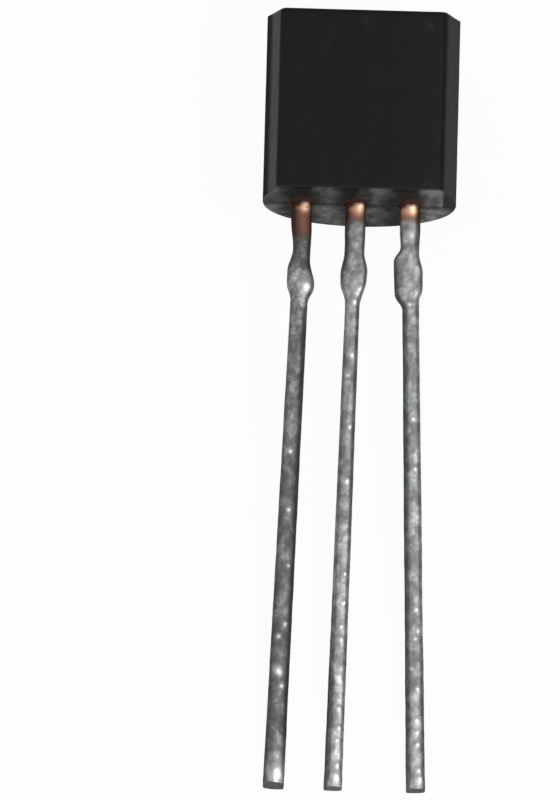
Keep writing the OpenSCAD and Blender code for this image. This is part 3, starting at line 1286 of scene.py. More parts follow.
@dataclass(frozen=True)
class EjectorMark:
    """The flat round mark that an ejector pin leaves on the crown of the back.

    Attributes:
        radius: Radius of the mark.
        sink: Depth at the crown.
        height: Height above the middle of the body.
        corner: Radius between the mark's floor and its wall.
        groove: Depth of the pin's turning marks.
        rings: Rings between the wall and the middle, every other one a groove.
        corner_steps: Rings round the corner.
        steps: Points round the mark.
        clear: How far the cutter reaches out of the back.
    """

    radius: float = 0.75
    sink: float = 0.16
    height: float = 0.5
    corner: float = 0.02
    groove: float = 0.0015
    rings: int = 14
    corner_steps: int = 4
    steps: int = 96
    clear: float = 0.1

    def mesh(self, crown: float) -> bpy.types.Mesh:
        """Builds the cutter.

        Args:
            crown: Distance from the lead frame to the back's crown.

        Returns:
            A closed mesh, in the part's axes.
        """
        floor = -crown + self.sink
        profile = [(self.radius, -crown - self.clear), (self.radius, floor - self.corner)]
        for k in range(1, self.corner_steps + 1):
            angle = QUARTER * k / self.corner_steps
            reach = self.radius - self.corner * (1.0 - math.cos(angle))
            profile.append((reach, floor - self.corner * (1.0 - math.sin(angle))))
        for k in range(1, self.rings):
            reach = (self.radius - self.corner) * (1.0 - k / self.rings)
            profile.append((reach, floor - self.groove * (k % 2)))
        return lathe(profile, (0.0, self.height), self.steps)


def lathe(
    profile: Sequence[tuple[float, float]], centre: tuple[float, float], steps: int
) -> bpy.types.Mesh:
    """Turns a profile round an axis that runs along Z, and closes both ends.

    Args:
        profile: Radius and Z of each ring, in order.
        centre: X and Y of the axis.
        steps: Points round each ring.

    Returns:
        A closed mesh.
    """
    points = []
    for reach, level in profile:
        for k in range(steps):
            angle = 2.0 * math.pi * k / steps
            x, y = centre[0] + reach * math.cos(angle), centre[1] + reach * math.sin(angle)
            points.append((x, y, level))
    ends = [tuple(reversed(range(steps))), tuple(range(len(points) - steps, len(points)))]
    return mesh_of("turned", np.array(points), ring_faces(len(profile), steps) + ends)


@dataclass(frozen=True)
class GateScar:
    """The torn rectangle that the mould's gate leaves on the top end.

    Attributes:
        width: Width across the leads.
        thick: Size through the body.
        depth: Depth below the end face.
        tear: Height of the torn floor's unevenness.
        steps: Columns across the scar.
        clear: How far the cutter reaches out of the end.
    """

    width: float = 0.9
    thick: float = 0.44
    depth: float = 0.05
    tear: float = 0.03
    steps: int = 26
    clear: float = 0.1

    def mesh(self, top: float) -> bpy.types.Mesh:
        """Builds the cutter.

        Args:
            top: Height of the top end above the middle of the body.

        Returns:
            A closed mesh, in the part's axes.
        """
        work = bmesh.new()
        bmesh.ops.create_grid(work, x_segments=self.steps, y_segments=self.steps // 2, size=0.5)
        made = bmesh.ops.extrude_face_region(work, geom=work.faces[:])
        lid = {item for item in made["geom"] if isinstance(item, bmesh.types.BMVert)}
        for vertex in work.verts:
            x, z = vertex.co.x * self.width, vertex.co.y * self.thick
            waves = ((0.16, self.tear), (0.06, self.tear / 2.0))
            torn = ripple(np.array([[x, 0.0, z]]), waves, 5)[0] - self.depth
            vertex.co = (x, top + (self.clear if vertex in lid else torn), z)
        bmesh.ops.recalc_face_normals(work, faces=work.faces)
        return settled("gate_scar", work)


# ---- Leads ----


@dataclass(frozen=True)
class Along:
    """A number that changes along a lead.

    Attributes:
        marks: Distances below the body, each with the number there.
    """

    marks: tuple[tuple[float, float], ...] = ((0.0, 0.0),)

    def at(self, reach: np.ndarray) -> np.ndarray:
        """The number at each distance below the body."""
        known = np.array(self.marks)
        return np.interp(reach, known[:, 0], known[:, 1])


@dataclass(frozen=True)
class Pearl:
    """A small bead of tin that stands out of a lead's front or back.

    Attributes:
        reach: Distance below the body.
        share: Place across the lead, from -1 on the left to 1 on the right.
        radius: Radius of the bead, in mm.
        height: Height of the bead, in mm.
    """

    reach: float
    share: float
    radius: float = 0.055
    height: float = 0.0135


@dataclass
class TinnedLead:
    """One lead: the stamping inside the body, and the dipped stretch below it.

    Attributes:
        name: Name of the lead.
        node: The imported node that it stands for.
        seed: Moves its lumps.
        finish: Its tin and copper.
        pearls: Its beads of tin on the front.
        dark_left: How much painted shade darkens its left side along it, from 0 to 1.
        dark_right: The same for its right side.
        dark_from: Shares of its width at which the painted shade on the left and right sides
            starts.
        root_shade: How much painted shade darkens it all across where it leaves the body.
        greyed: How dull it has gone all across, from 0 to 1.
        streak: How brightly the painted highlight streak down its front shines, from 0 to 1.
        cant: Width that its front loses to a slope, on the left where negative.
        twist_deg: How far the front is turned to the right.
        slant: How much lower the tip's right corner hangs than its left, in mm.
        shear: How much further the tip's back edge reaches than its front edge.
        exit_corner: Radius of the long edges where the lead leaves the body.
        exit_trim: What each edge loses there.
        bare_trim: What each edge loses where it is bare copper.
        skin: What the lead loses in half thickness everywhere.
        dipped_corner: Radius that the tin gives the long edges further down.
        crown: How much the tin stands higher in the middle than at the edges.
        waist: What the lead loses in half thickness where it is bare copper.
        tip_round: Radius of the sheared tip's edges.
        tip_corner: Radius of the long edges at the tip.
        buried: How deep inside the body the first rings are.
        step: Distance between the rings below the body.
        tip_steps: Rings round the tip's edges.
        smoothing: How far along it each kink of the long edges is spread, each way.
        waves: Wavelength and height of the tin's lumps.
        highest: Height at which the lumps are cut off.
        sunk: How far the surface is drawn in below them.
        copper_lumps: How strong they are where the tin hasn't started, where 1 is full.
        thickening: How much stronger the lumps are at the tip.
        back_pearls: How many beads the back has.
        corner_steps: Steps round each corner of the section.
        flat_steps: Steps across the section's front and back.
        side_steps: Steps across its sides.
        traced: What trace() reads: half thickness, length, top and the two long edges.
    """

    name: str
    node: bpy.types.Object
    seed: int
    finish: TinOverCopper
    pearls: tuple[Pearl, ...] = ()
    dark_left: Along = Along()
    dark_right: Along = Along()
    dark_from: tuple[float, float] = (0.1, 0.2)
    root_shade: float = 0.0
    greyed: Along = Along()
    streak: Along = Along()
    cant: Along = Along()
    twist_deg: float = 0.0
    slant: float = 0.0
    shear: float = 0.03
    exit_corner: float = 0.07
    exit_trim: float = 0.002
    bare_trim: float = 0.004
    skin: float = 0.001
    dipped_corner: float = 0.11
    crown: float = 0.035
    waist: float = 0.02
    tip_round: float = 0.02
    tip_corner: float = 0.05
    buried: tuple[float, ...] = (0.3, 0.2, 0.1, 0.04)
    step: float = 0.025
    tip_steps: int = 5
    smoothing: float = 0.06
    waves: Waves = ((1.3, 0.004), (0.4, 0.0035), (0.13, 0.002))
    highest: float = 0.006
    sunk: float = 0.002
    copper_lumps: float = 0.45
    thickening: float = 0.7
    back_pearls: int = 24
    corner_steps: int = 8
    flat_steps: int = 9
    side_steps: int = 4
    traced: dict[str, float | np.ndarray] = field(default_factory=dict)

    def trace(self, axes: PartAxes) -> None:
        """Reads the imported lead's two long edges, thickness and length.

        Args:
            axes: The part's axes.
        """
        mesh = axes.node_mesh(self.node)
        points = np.array([vertex.co for vertex in mesh.verts])
        facing = np.array([vertex.normal.x for vertex in mesh.verts])
        mesh.free()
        reach = -points[:, 1] - axes.half_height
        half = points[:, 2].max()
        length = reach.max()
        side = (reach > 0.05) & (np.abs(points[:, 2]) < half - self.exit_corner + 0.004)
        side &= reach < length - 0.001
        self.traced = {"half": half, "length": length, "top": axes.half_height}
        for key, sign in (("left", -1.0), ("right", 1.0)):
            chosen = side & (facing * sign > 0.3)
            order = np.argsort(reach[chosen])
            self.traced[key] = np.column_stack([reach[chosen][order], points[chosen][order, 0]])

    @property
    def length(self) -> float:
        """Length of the lead below the body."""
        return float(self.traced["length"])

    @property
    def exit_middle(self) -> float:
        """X of the lead's middle where it leaves the body."""
        return float(self.traced["left"][0, 1] + self.traced["right"][0, 1]) / 2.0

    def _edge(self, key: str, reach: np.ndarray) -> np.ndarray:
        """X of a long edge at each distance below the body, with its kinks smoothed.

        Args:
            key: left or right.
            reach: Distances below the body.

        Returns:
            One X per distance.
        """
        known = self.traced[key]
        offsets = np.linspace(-self.smoothing, self.smoothing, 5)
        shifted = [np.interp(reach + offset, known[:, 0], known[:, 1]) for offset in offsets]
        return sum(shifted) / len(offsets)

    def _stations(self) -> np.ndarray:
        """Places the lead's rings.

        Returns:
            Their distances below the body, from inside it to the tip.
        """
        length, turn = self.length, self.tip_round
        run = np.arange(0.0, length - turn, self.step)
        bends = [QUARTER * k / self.tip_steps for k in range(self.tip_steps + 1)]
        tip = [length - turn * (1.0 - math.sin(bend)) for bend in bends]
        return np.concatenate([-np.array(self.buried), run, tip])

    def _insets(self, stations: np.ndarray) -> np.ndarray:
        """Works out how far the tip's rounded edges draw each ring in.

        Args:
            stations: The rings' distances below the body.

        Returns:
            One distance per ring, which is 0 above the tip.
        """
        start = self.length - self.tip_round
        run = np.clip((stations - start) / self.tip_round, 0.0, 1.0)
        return self.tip_round * (1.0 - np.sqrt(1.0 - run * run))

    def _section(
        self, left: float, right: float, half: float, corner: float
    ) -> tuple[np.ndarray, np.ndarray]:
        """Draws one rounded section.

        Args:
            left: X of the left edge.
            right: X of the right edge.
            half: Half thickness.
            corner: Radius of the corners.

        Returns:
            The points (x, z) and their outward normals.
        """
        wide = (right - left) / 2.0
        corner = min(corner, wide - 0.02, half - 0.02)
        points, normals = [], []
        spans = [(wide - corner, self.flat_steps), (half - corner, self.side_steps)]
        for quarter, (sign_x, sign_z) in enumerate(((1, 1), (-1, 1), (-1, -1), (1, -1))):
            start = quarter * QUARTER
            centre = (sign_x * (wide - corner), sign_z * (half - corner))
            for k in range(self.corner_steps + 1):
                angle = start + QUARTER * k / self.corner_steps
                turn = (math.cos(angle), math.sin(angle))
                points.append((centre[0] + corner * turn[0], centre[1] + corner * turn[1]))
                normals.append(turn)
            span, steps = spans[quarter % 2]
            first = np.array(points[-1])
            turn = (math.cos(start + QUARTER), math.sin(start + QUARTER))
            along = np.array([-turn[1], turn[0]])
            for k in range(1, steps):
                points.append(tuple(first + along * (2.0 * span * k / steps)))
                normals.append(turn)
        spots = np.array(points)
        spots[:, 0] += (left + right) / 2.0
        return spots, np.array(normals)

    def _bend_section(self, spots: np.ndarray, half: float, crown: float, cant: float) -> None:
        """Crowns a section's flats and turns and slopes its front, in place.

        Args:
            spots: The section's points (x, z).
            half: Half thickness.
            crown: How much the flats fall from their middle to the sides.
            cant: Width that the front loses to the slope, on the left where negative.
        """
        middle = (spots[:, 0].max() + spots[:, 0].min()) / 2.0
        wide = (spots[:, 0].max() - spots[:, 0].min()) / 2.0
        share = (spots[:, 0] - middle) / wide
        front = np.clip(spots[:, 1] / half, 0.0, 1.0)
        side = math.copysign(1.0, cant)
        spots[:, 0] -= cant * ease(0.15, 1.0, front) * ease(0.0, 1.0, side * share)
        spots[:, 1] *= 1.0 - crown * share**2 / half
        turned = math.tan(math.radians(self.twist_deg)) * share * wide * front
        spots[:, 1] -= turned * min(1.0, crown / 0.02)

    def _beads(self) -> list[tuple[float, float, Pearl]]:
        """Lists all beads of tin, with the side each one is on.

        Returns:
            For each bead its X, its side (1 in front, -1 behind) and the bead.
        """
        chance = np.random.default_rng(self.seed)
        beads = [(1.0, pearl) for pearl in self.pearls]
        for _ in range(self.back_pearls):
            reach = 1.0 + (self.length - 1.5) * math.sqrt(chance.random())
            share, size = chance.uniform(-0.6, 0.6), chance.uniform(0.03, 0.07)
            beads.append((-1.0, Pearl(reach, share, size, 0.3 * size)))
        placed = []
        for side, pearl in beads:
            spot = np.array([pearl.reach])
            left, right = self._edge("left", spot)[0], self._edge("right", spot)[0]
            placed.append(((left + right + pearl.share * (right - left)) / 2.0, side, pearl))
        return placed

    def _swell(self, spots: np.ndarray, facing: np.ndarray, raised: bool) -> np.ndarray:
        """Adds up the beads at points of the lead.

        Args:
            spots: Points in the part's axes.
            facing: Z of each point's outward normal.
            raised: Whether heights are wanted, in mm, or shares from 0 to 1.

        Returns:
            One number per point.
        """
        reach = -spots[:, 1] - self.traced["top"]
        total = np.zeros(len(spots))
        for x, side, pearl in self._beads():
            away = ((reach - pearl.reach) ** 2 + (spots[:, 0] - x) ** 2) / pearl.radius**2
            bump = np.exp(-away) * ease(0.1, 0.5, facing * side)
            total += bump * (pearl.height if raised else 1.0)
        return total

    def _outside(self) -> bpy.types.Mesh:
        """Builds the stretch from just inside the body to the tip.

        Returns:
            The closed mesh, in the part's axes.
        """
        stations, length, start = self._stations(), self.length, self.finish.start
        left, right = self._edge("left", stations), self._edge("right", stations)
        dipped = ease(start - 0.15, start + 0.2, stations)
        bare = ease(0.02, 0.2, stations) * (1.0 - dipped)
        below = ease(0.0, 0.25, stations)
        cant = self.cant.at(stations) * below
        corner = self.exit_corner + (self.dipped_corner - self.exit_corner) * dipped
        near_tip = ease(length - 0.5, length - 0.05, stations)
        corner += (self.tip_corner - self.dipped_corner) * near_tip
        inset, hanging = self._insets(stations), ease(length - 0.4, length, stations)
        trim = self.exit_trim * (1.0 - below) + self.bare_trim * bare + inset
        half = self.traced["half"] - self.skin - self.waist * bare - inset
        growth = self.copper_lumps + (1.0 - self.copper_lumps) * dipped
        growth *= below * (1.0 + self.thickening * (stations / length) ** 2)
        growth *= np.where(inset < 0.01, 1.0, 0.3)
        corner -= 0.5 * inset
        points, outward = [], []
        for k, level in enumerate(-self.traced["top"] - stations):
            flat, turns = self._section(left[k] + trim[k], right[k] - trim[k], half[k], corner[k])
            self._bend_section(flat, half[k], self.crown * below[k], cant[k])
            share = (flat[:, 0] - (left[k] + right[k]) / 2.0) / (right[k] - left[k])
            ahead = 0.5 + 0.5 * flat[:, 1] / half[k]
            hang = (self.slant * share + self.shear * ahead) * hanging[k]
            points.append(np.column_stack([flat[:, 0], level + hang, flat[:, 1]]))
            outward.append(np.column_stack([turns[:, 0], np.zeros(len(flat)), turns[:, 1]]))
        count = len(points[0])
        spots, normals, strength = np.vstack(points), np.vstack(outward), np.repeat(growth, count)
        lumps = ripple(spots, self.waves, self.seed) * strength
        lumps = np.minimum(lumps, self.highest) - self.sunk * strength
        lumps += self._swell(spots, normals[:, 2], True)
        ends = [tuple(range(count)), tuple(range(len(spots) - count, len(spots)))]
        faces = ring_faces(len(stations), count) + ends
        return mesh_of("dipped", spots + normals * lumps[:, None], faces)

    def _inside(self, axes: PartAxes, keep: float = 0.2) -> bpy.types.Mesh:
        """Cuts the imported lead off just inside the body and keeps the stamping.

        Args:
            axes: The part's axes.
            keep: Distance inside the leaded end at which the cut is made.

        Returns:
            A closed mesh, in the part's axes.
        """
        work = axes.node_mesh(self.node)
        bmesh.ops.bisect_plane(
            work,
            geom=work.verts[:] + work.edges[:] + work.faces[:],
            dist=1e-5,
            plane_co=(0.0, -axes.half_height + keep, 0.0),
            plane_no=(0.0, 1.0, 0.0),
            clear_inner=True,
        )
        rim = [edge for edge in work.edges if edge.is_boundary]
        bmesh.ops.edgeloop_fill(work, edges=rim)
        bmesh.ops.recalc_face_normals(work, faces=work.faces)
        return settled("stamping", work)

    def _mark(self, mesh: bpy.types.Mesh) -> None:
        """Stores where the lead has painted shade, beads, a sheared end, greying and a painted
        highlight streak.

        Args:
            mesh: The lead's mesh, in the part's axes.
        """
        spots = np.array([vertex.co for vertex in mesh.vertices])
        facing = np.array([vertex.normal for vertex in mesh.vertices])
        reach = -spots[:, 1] - self.traced["top"]
        left, right = self._edge("left", reach), self._edge("right", reach)
        share = np.clip((2.0 * spots[:, 0] - left - right) / (right - left), -1.0, 1.0)
        # Painted shade down the dark sides and along the long edges
        shade = self.dark_left.at(reach) * ease(self.dark_from[0], 0.95, -share)
        shade += self.dark_right.at(reach) * ease(self.dark_from[1], 0.95, share)
        off_bead = ease(0.15, 0.75, np.abs(share - self.pearls[0].share))
        # Painted shade where the lead leaves the body, away from the bead's highlight
        root_shading = ease(0.15, 0.02, reach)
        root_shading *= self.root_shade + (0.9 - self.root_shade) * off_bead
        shade = np.clip(shade + 0.3 * ease(0.75, 1.0, np.abs(share)) + root_shading, 0.0, 1.0)
        pearl = np.clip(self._swell(spots, facing[:, 2], False), 0.0, 1.0)
        sheared = ease(0.5, 0.8, -facing[:, 1]) * ease(self.length - 0.3, self.length - 0.2, reach)
        # Painted highlight streak down the front
        broken = 0.75 + ripple(spots, ((0.5, 0.9), (0.2, 0.7)), self.seed + 20)
        across = np.exp(-(((share - 0.28) / 0.36) ** 2))
        gleam = self.streak.at(reach) * across * np.clip(broken, 0.0, 1.0)
        gleam *= ease(0.1, 0.5, facing[:, 2])
        below = ease(-0.1, 0.0, reach)
        marks = (shade * below, pearl, sheared, self.greyed.at(reach), gleam)
        for name, values in zip(LEAD_MARKS, marks):
            mark = mesh.attributes.new(name, "FLOAT", "POINT")
            mark.data.foreach_set("value", values.astype(np.float32))

    def build(self, finished: Finished) -> bpy.types.Object:
        """Builds the lead.

        Args:
            finished: Makes the piece.

        Returns:
            The piece.
        """
        mesh = work_on(self._outside(), [(self._inside(finished.axes), Cut.TOGETHER)])
        self._mark(mesh)
        finish = self.finish.material(self.name, finished.axes)
        return finished.piece(self.name, mesh, finish, self.node.name, "tinned_lead", 50.0)


# ---- Studio ----


@dataclass(frozen=True)
class SoftLamp:
    """A square studio lamp that looks at the part.

    Attributes:
        name: Name of the lamp.
        towards: Direction from the part to the lamp, in the frame.
        distance: Distance from the part, in mm.
        side: Side of the square, in mm.
        radiance: Brightness of its face, where 1 is white.
        tint: Colour of its light.
    """

    name: str
    towards: Triple
    distance: float
    side: float
    radiance: float
    tint: Colour = (1.0, 1.0, 1.0)

    def build(self, target: Vector) -> bpy.types.Object:
        """Hangs the lamp.

        Args:
            target: What it looks at, in metres.

        Returns:
            The lamp.
        """
        light = bpy.data.lights.new(self.name, "AREA")
        light.shape, light.size = "SQUARE", self.side * MM
        light.energy = self.radiance * math.pi * (self.side * MM) ** 2
        light.color = self.tint
        lamp = bench_object(self.name, light)
        away = Vector(self.towards).normalized()
        lamp.location = target + away * self.distance * MM
        lamp.rotation_euler = away.to_track_quat("Z", "Y").to_euler()
        return lamp


@dataclass(frozen=True)
class Viewpoint:
    """Where the camera stands, in the part's upright axes.

    Attributes:
        lean_deg: How far the view leans from the flat front's normal to the tips.
        roll_deg: How far the part seems turned clockwise.
        distance: Distance from the point that is looked at, in mm.
        lens: Focal length, in mm.
        aim: The point that is looked at, in mm.
    """

    lean_deg: float = 13.2
    roll_deg: float = 1.58
    distance: float = 300.0
    lens: float = 567.0
    aim: Triple = (-1.765, -7.14, 0.0)

    def build(self, axes: PartAxes) -> bpy.types.Object:
        """Sets up the camera.

        Args:
            axes: The part's axes.

        Returns:
            The camera.
        """
        lean, roll = math.radians(self.lean_deg), math.radians(self.roll_deg)
        turn = axes.laid_down.to_3x3().normalized()
        back = turn @ Vector((0.0, -math.sin(lean), math.cos(lean)))
        level_up = turn @ Vector((0.0, math.cos(lean), math.sin(lean)))
        level_right = turn @ Vector((1.0, 0.0, 0.0))
        up = math.cos(roll) * level_up - math.sin(roll) * level_right
        right = math.cos(roll) * level_right + math.sin(roll) * level_up
        camera = bench_object("camera", bpy.data.cameras.new("camera"))
        camera.data.lens = self.lens
        camera.data.clip_start, camera.data.clip_end = 0.01, 5.0
        place = axes.place(self.aim) + back * self.distance * MM
        rows = [(right[k], up[k], back[k], place[k]) for k in range(3)]
        camera.matrix_world = Matrix([*rows, (0.0, 0.0, 0.0, 1.0)])
        return camera


@dataclass(frozen=True)
class Studio:
    """White table, overhead sky and two soft lamps.

    Attributes:
        lamps: The lamps.
        zenith: Brightness of the sky overhead.
        horizon: Brightness of the sky at the horizon.
        table: Colour of the table.
        table_thread: Colour of its grain.
        weave: Its grain.
        table_half: Half the table's side, in mm.
        shown: Share of plain white that the camera sees in the table.
        mirrored: Share of plain white that shiny and clear pieces see in it.
    """

    lamps: tuple[SoftLamp, ...] = (
        SoftLamp("key_lamp", (0.36, -0.38, 0.86), 120.0, 46.0, 9.0),
        SoftLamp("fill_lamp", (-0.85, -0.1, 0.75), 160.0, 110.0, 0.9),
    )
    zenith: float = 0.496
    horizon: float = 0.096
    table: Colour = (0.93, 0.93, 0.93)
    table_thread: Colour = (0.9, 0.9, 0.9)
    weave: Grain = Grain(900.0, 3.0)
    table_half: float = 1500.0
    shown: float = 0.95
    mirrored: float = 0.12

    def _table_finish(self) -> bpy.types.Material:
        """White table top, plain white where the background is looked at.

        Returns:
            The material.
        """
        made, graph = new_finish("table_finish")
        place = graph.node("ShaderNodeTexCoord").outputs["Object"]
        weave = graph.grain(place, self.weave).fade(0.3, 0.7, 0.0, 0.3)
        colour = graph.blend(weave, self.table, self.table_thread)
        paper = graph.node("ShaderNodeBsdfDiffuse", inputs={"Color": colour})
        white = graph.node("ShaderNodeEmission", inputs={"Color": WHITE, "Strength": 1.0})
        path = graph.node("ShaderNodeLightPath").outputs
        seen = Signal(graph, path["Is Camera Ray"]) * self.shown
        glossy = Signal(graph, path["Is Glossy Ray"])
        clear = Signal(graph, path["Is Transmission Ray"])
        share = seen.most(glossy.most(clear) * self.mirrored)
        graph.either(share, paper, white, "ShaderNodeOutputMaterial")
        return made

    def _sky(self) -> None:
        """Lights the world from above, falling off towards the horizon."""
        world = bpy.data.worlds.new("studio")
        bpy.context.scene.world = world
        graph = Graph(world)
        _, _, height = graph.along(graph.node("ShaderNodeTexCoord").outputs["Generated"])
        colour = graph.blend(height.fade(0.2, 1.0), (self.horizon,) * 3, (self.zenith,) * 3)
        sky = graph.node("ShaderNodeBackground", inputs={"Color": colour, "Strength": 1.0})
        white = graph.node("ShaderNodeBackground", inputs={"Color": WHITE, "Strength": 1.0})
        seen = Signal(graph, graph.node("ShaderNodeLightPath").outputs["Is Camera Ray"])
        graph.either(seen, sky, white, "ShaderNodeOutputWorld")

    def build(self, target: Vector) -> None:
        """Sets up the table, the sky and the lamps.

        Args:
            target: What the lamps look at, in metres.
        """
        half = self.table_half * MM
        around = ((-1.0, -1.0), (1.0, -1.0), (1.0, 1.0), (-1.0, 1.0))
        corners = np.array([(half * x, half * y, 0.0) for x, y in around])
        table = bench_object("table", mesh_of("table", corners, [(0, 1, 2, 3)]))
        table.data.materials.append(self._table_finish())
        self._sky()
        for lamp in self.lamps:
            lamp.build(target)
        bpy.context.scene.view_settings.view_transform = "Standard"


# ---- The whole part ----


def dress_node(node: bpy.types.Object, finish: bpy.types.Material) -> bpy.types.Object:
    """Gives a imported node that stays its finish.

    Args:
        node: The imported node.
        finish: Its material.

    Returns:
        The node, as a piece.
    """
    node.data.materials.clear()
    node.data.materials.append(finish)
    return node


def report(piece: bpy.types.Object) -> None:
    """Logs a piece's finish and how many triangles it has.

    Args:
        piece: The finished piece.
    """
    triangles = sum(len(face.vertices) - 2 for face in piece.data.polygons)
    finish = piece.data.materials[0].name
    LOG.info("%s: %d triangles, in %s", piece.name, triangles, finish)


def pearls(*rows: tuple[float, ...]) -> tuple[Pearl, ...]:
    """Makes beads from rows of distance, share, radius and height."""
    return tuple(Pearl(*row) for row in rows)


def along(*marks: tuple[float, float]) -> Along:
    """Makes a value that changes along a lead from its marks."""
    return Along(marks)


def emitter_lead(node: bpy.types.Object) -> TinnedLead:
    """Describes the lead on the left, as the flat front is looked at.

    Args:
        node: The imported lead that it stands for.

    Returns:
        The lead.
    """
    return TinnedLead(
        "emitter_tinned_lead",
        node,
        1,
        TinOverCopper(
            tin=(0.54, 0.54, 0.535),
            dull=(0.29, 0.29, 0.288),
            pit=(0.12, 0.12, 0.12),
            copper=(0.52, 0.225, 0.15),
            start=0.86,
            shift=(2.0, 5.0, 1.0),
        ),
        pearls(
            (0.04, 0.34, 0.15, 0.03), (2.0, 0.45, 0.13, 0.028), (6.1, -0.1), (7.52, 0.07),
            (8.88, 0.4), (10.3, 0.4, 0.065, 0.02), (10.61, -0.28), (11.42, -0.18, 0.12, 0.032),
            (11.8, 0.35, 0.06, 0.015), (13.84, 0.32, 0.2, 0.04),
        ),
        dark_left=along(
            (0.0, 1.0), (0.8, 0.9), (1.2, 0.4), (1.6, 0.05), (6.0, 0.05), (12.4, 0.3),
            (13.2, 0.8), (14.0, 0.7),
        ),
        dark_right=along(
            (0.0, 0.5), (1.1, 0.6), (1.8, 0.0), (2.4, 0.05), (3.0, 0.75), (13.0, 0.8), (13.5, 0.0)
        ),
        dark_from=(-0.4, -0.05),
        root_shade=0.35,
        greyed=along(
            (0.0, 0.6), (0.8, 1.0), (1.2, 1.2), (1.6, 1.2), (1.85, 0.0), (2.4, 0.1), (3.5, 0.65),
            (5.0, 0.5), (7.2, 0.9), (10.4, 1.0), (12.6, 1.0), (13.2, 0.7), (13.7, 0.0),
        ),
        streak=along((1.6, 0.0), (1.9, 0.5), (2.4, 0.0), (13.3, 0.0), (14.1, 0.9)),
        cant=along(
            (0.0, -0.06), (1.0, -0.04), (1.6, 0.0), (2.4, 0.0), (3.2, 0.03), (9.0, 0.0), (14.0, 0.0)
        ),
        twist_deg=7.0,
        slant=-0.02,
        shear=0.1,
    )


def base_lead(node: bpy.types.Object) -> TinnedLead:
    """Describes the lead in the middle.

    Args:
        node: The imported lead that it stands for.

    Returns:
        The lead.
    """
    return TinnedLead(
        "base_tinned_lead",
        node,
        2,
        TinOverCopper(tin=(0.76, 0.75, 0.73), start=0.46, shift=(8.0, 3.0, 4.0)),
        pearls(
            (0.04, 0.36, 0.16, 0.035), (2.07, 0.7, 0.096, 0.022), (2.39, 0.3, 0.084, 0.019),
            (3.69, 0.17, 0.072, 0.017), (4.21, -0.29), (5.45, 0.3, 0.06, 0.015),
            (6.78, 0.19, 0.072, 0.017), (9.05, 0.44), (9.74, 0.45), (10.33, 0.19),
            (10.64, 0.26, 0.072, 0.017), (11.28, -0.51), (11.55, 0.07, 0.096, 0.022),
            (12.31, 0.36), (12.77, 0.45, 0.06, 0.015), (13.07, 0.26),
            (13.68, 0.39, 0.072, 0.017), (13.95, 0.2, 0.12, 0.025),
        ),
        dark_left=along(
            (0.0, 0.9), (0.9, 0.9), (1.5, 0.6), (2.2, 0.1), (2.7, 0.0), (6.0, 0.0), (9.0, 0.2),
            (12.0, 0.85), (14.0, 0.9),
        ),
        dark_right=along(
            (0.0, 0.7), (0.3, 0.7), (0.7, 0.4), (1.5, 0.1), (2.0, 0.0), (3.0, 0.4), (9.0, 0.2),
            (14.0, 0.1),
        ),
        greyed=along(
            (0.0, 0.5), (1.3, 0.4), (1.9, 0.1), (2.6, 0.3), (4.6, 0.7), (7.4, 0.5), (8.2, 0.0),
            (14.0, 0.0),
        ),
        streak=along(
            (1.7, 0.0), (2.0, 0.3), (2.6, 0.0), (7.8, 0.0), (8.4, 0.4), (9.4, 0.3), (10.4, 0.4),
            (11.3, 0.1), (12.3, 0.35), (14.1, 0.5),
        ),
        cant=along(
            (0.0, -0.05), (1.2, -0.04), (2.4, 0.0), (6.0, -0.01), (9.0, -0.04), (12.0, -0.07),
            (14.0, -0.07),
        ),
    )


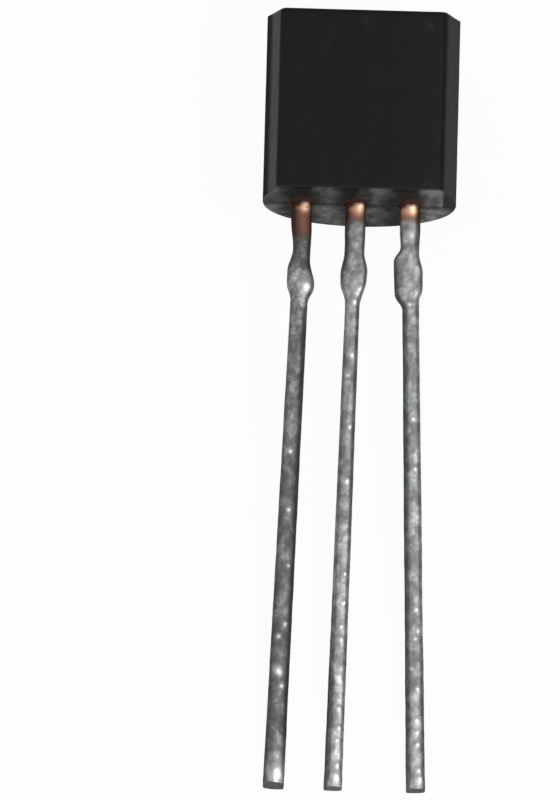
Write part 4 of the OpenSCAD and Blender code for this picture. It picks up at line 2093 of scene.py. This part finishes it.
def collector_lead(node: bpy.types.Object) -> TinnedLead:
    """Describes the lead on the right.

    Args:
        node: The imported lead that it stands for.

    Returns:
        The lead.
    """
    return TinnedLead(
        "collector_tinned_lead",
        node,
        4,
        TinOverCopper(start=0.43, shift=(5.0, 9.0, 6.0)),
        pearls(
            (0.05, 0.12, 0.16, 0.035), (0.7, 0.04, 0.12, 0.015), (2.43, -0.13), (5.22, 0.12),
            (6.44, 0.31), (9.86, 0.26), (10.37, 0.48), (10.57, 0.11), (11.31, -0.4),
            (11.79, 0.29), (12.55, 0.14, 0.06, 0.015), (12.84, 0.12, 0.06, 0.015),
            (13.14, 0.23, 0.06, 0.015), (13.75, 0.31, 0.084, 0.019), (13.95, 0.45, 0.108, 0.024),
        ),
        dark_left=along((0.0, 0.45), (0.5, 0.0), (1.0, 0.1), (1.6, 0.6), (3.0, 0.8), (14.0, 0.75)),
        dark_right=along(
            (0.0, 1.0), (0.7, 0.9), (1.1, 0.4), (1.5, 0.1), (11.0, 0.2), (12.2, 0.6), (14.0, 0.6)
        ),
        greyed=along(
            (0.0, 0.0), (1.1, 0.0), (1.5, 0.3), (2.0, 0.35), (2.5, 0.1), (3.5, 0.2), (6.0, 0.1),
            (11.0, 0.2),
        ),
        streak=along((0.4, 0.0), (0.65, 0.4), (1.0, 0.0), (12.6, 0.0), (14.1, 0.5)),
        cant=along((0.0, 0.05), (1.0, 0.03), (1.6, -0.03), (3.0, -0.05), (14.0, -0.05)),
        slant=0.02,
    )


def main() -> None:
    """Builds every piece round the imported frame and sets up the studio."""
    logging.basicConfig(level=logging.INFO, format="%(name)s %(message)s")
    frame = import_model()
    nodes = frame["nodes"]
    axes = PartAxes.from_record(frame["record"])
    finished = Finished(axes)

    body = MouldedBody.from_node(nodes["body"], axes)
    marks = [EjectorMark().mesh(body.back_depth), GateScar().mesh(axes.half_height)]
    leads = [
        emitter_lead(nodes["emitter_lead"]),
        base_lead(nodes["base_lead"]),
        collector_lead(nodes["collector_lead"]),
    ]
    for lead in leads:
        lead.trace(axes)
    exits = [lead.exit_middle for lead in leads]
    compound = MouldingCompound().material(axes, exits, body.face_half_width)
    inside = [nodes[name] for name in nodes if name != "body"]
    pieces = [body.build(finished, compound, inside, marks)]
    pieces += [lead.build(finished) for lead in leads]
    pieces.append(dress_node(nodes["silicon_die"], SILICON.material(axes)))
    pieces.append(dress_node(nodes["die_attach"], SILVER_EPOXY.material(axes)))
    gold, wires = GOLD_WIRE.material(axes), ("base_bond_wire", "emitter_bond_wire")
    pieces += [dress_node(nodes[name], gold) for name in wires]
    for piece in pieces:
        report(piece)

    Studio().build(axes.place((0.0, -3.0, 0.0)))
    bpy.context.scene.camera = Viewpoint().build(axes)


if __name__ == "__main__":
    main()
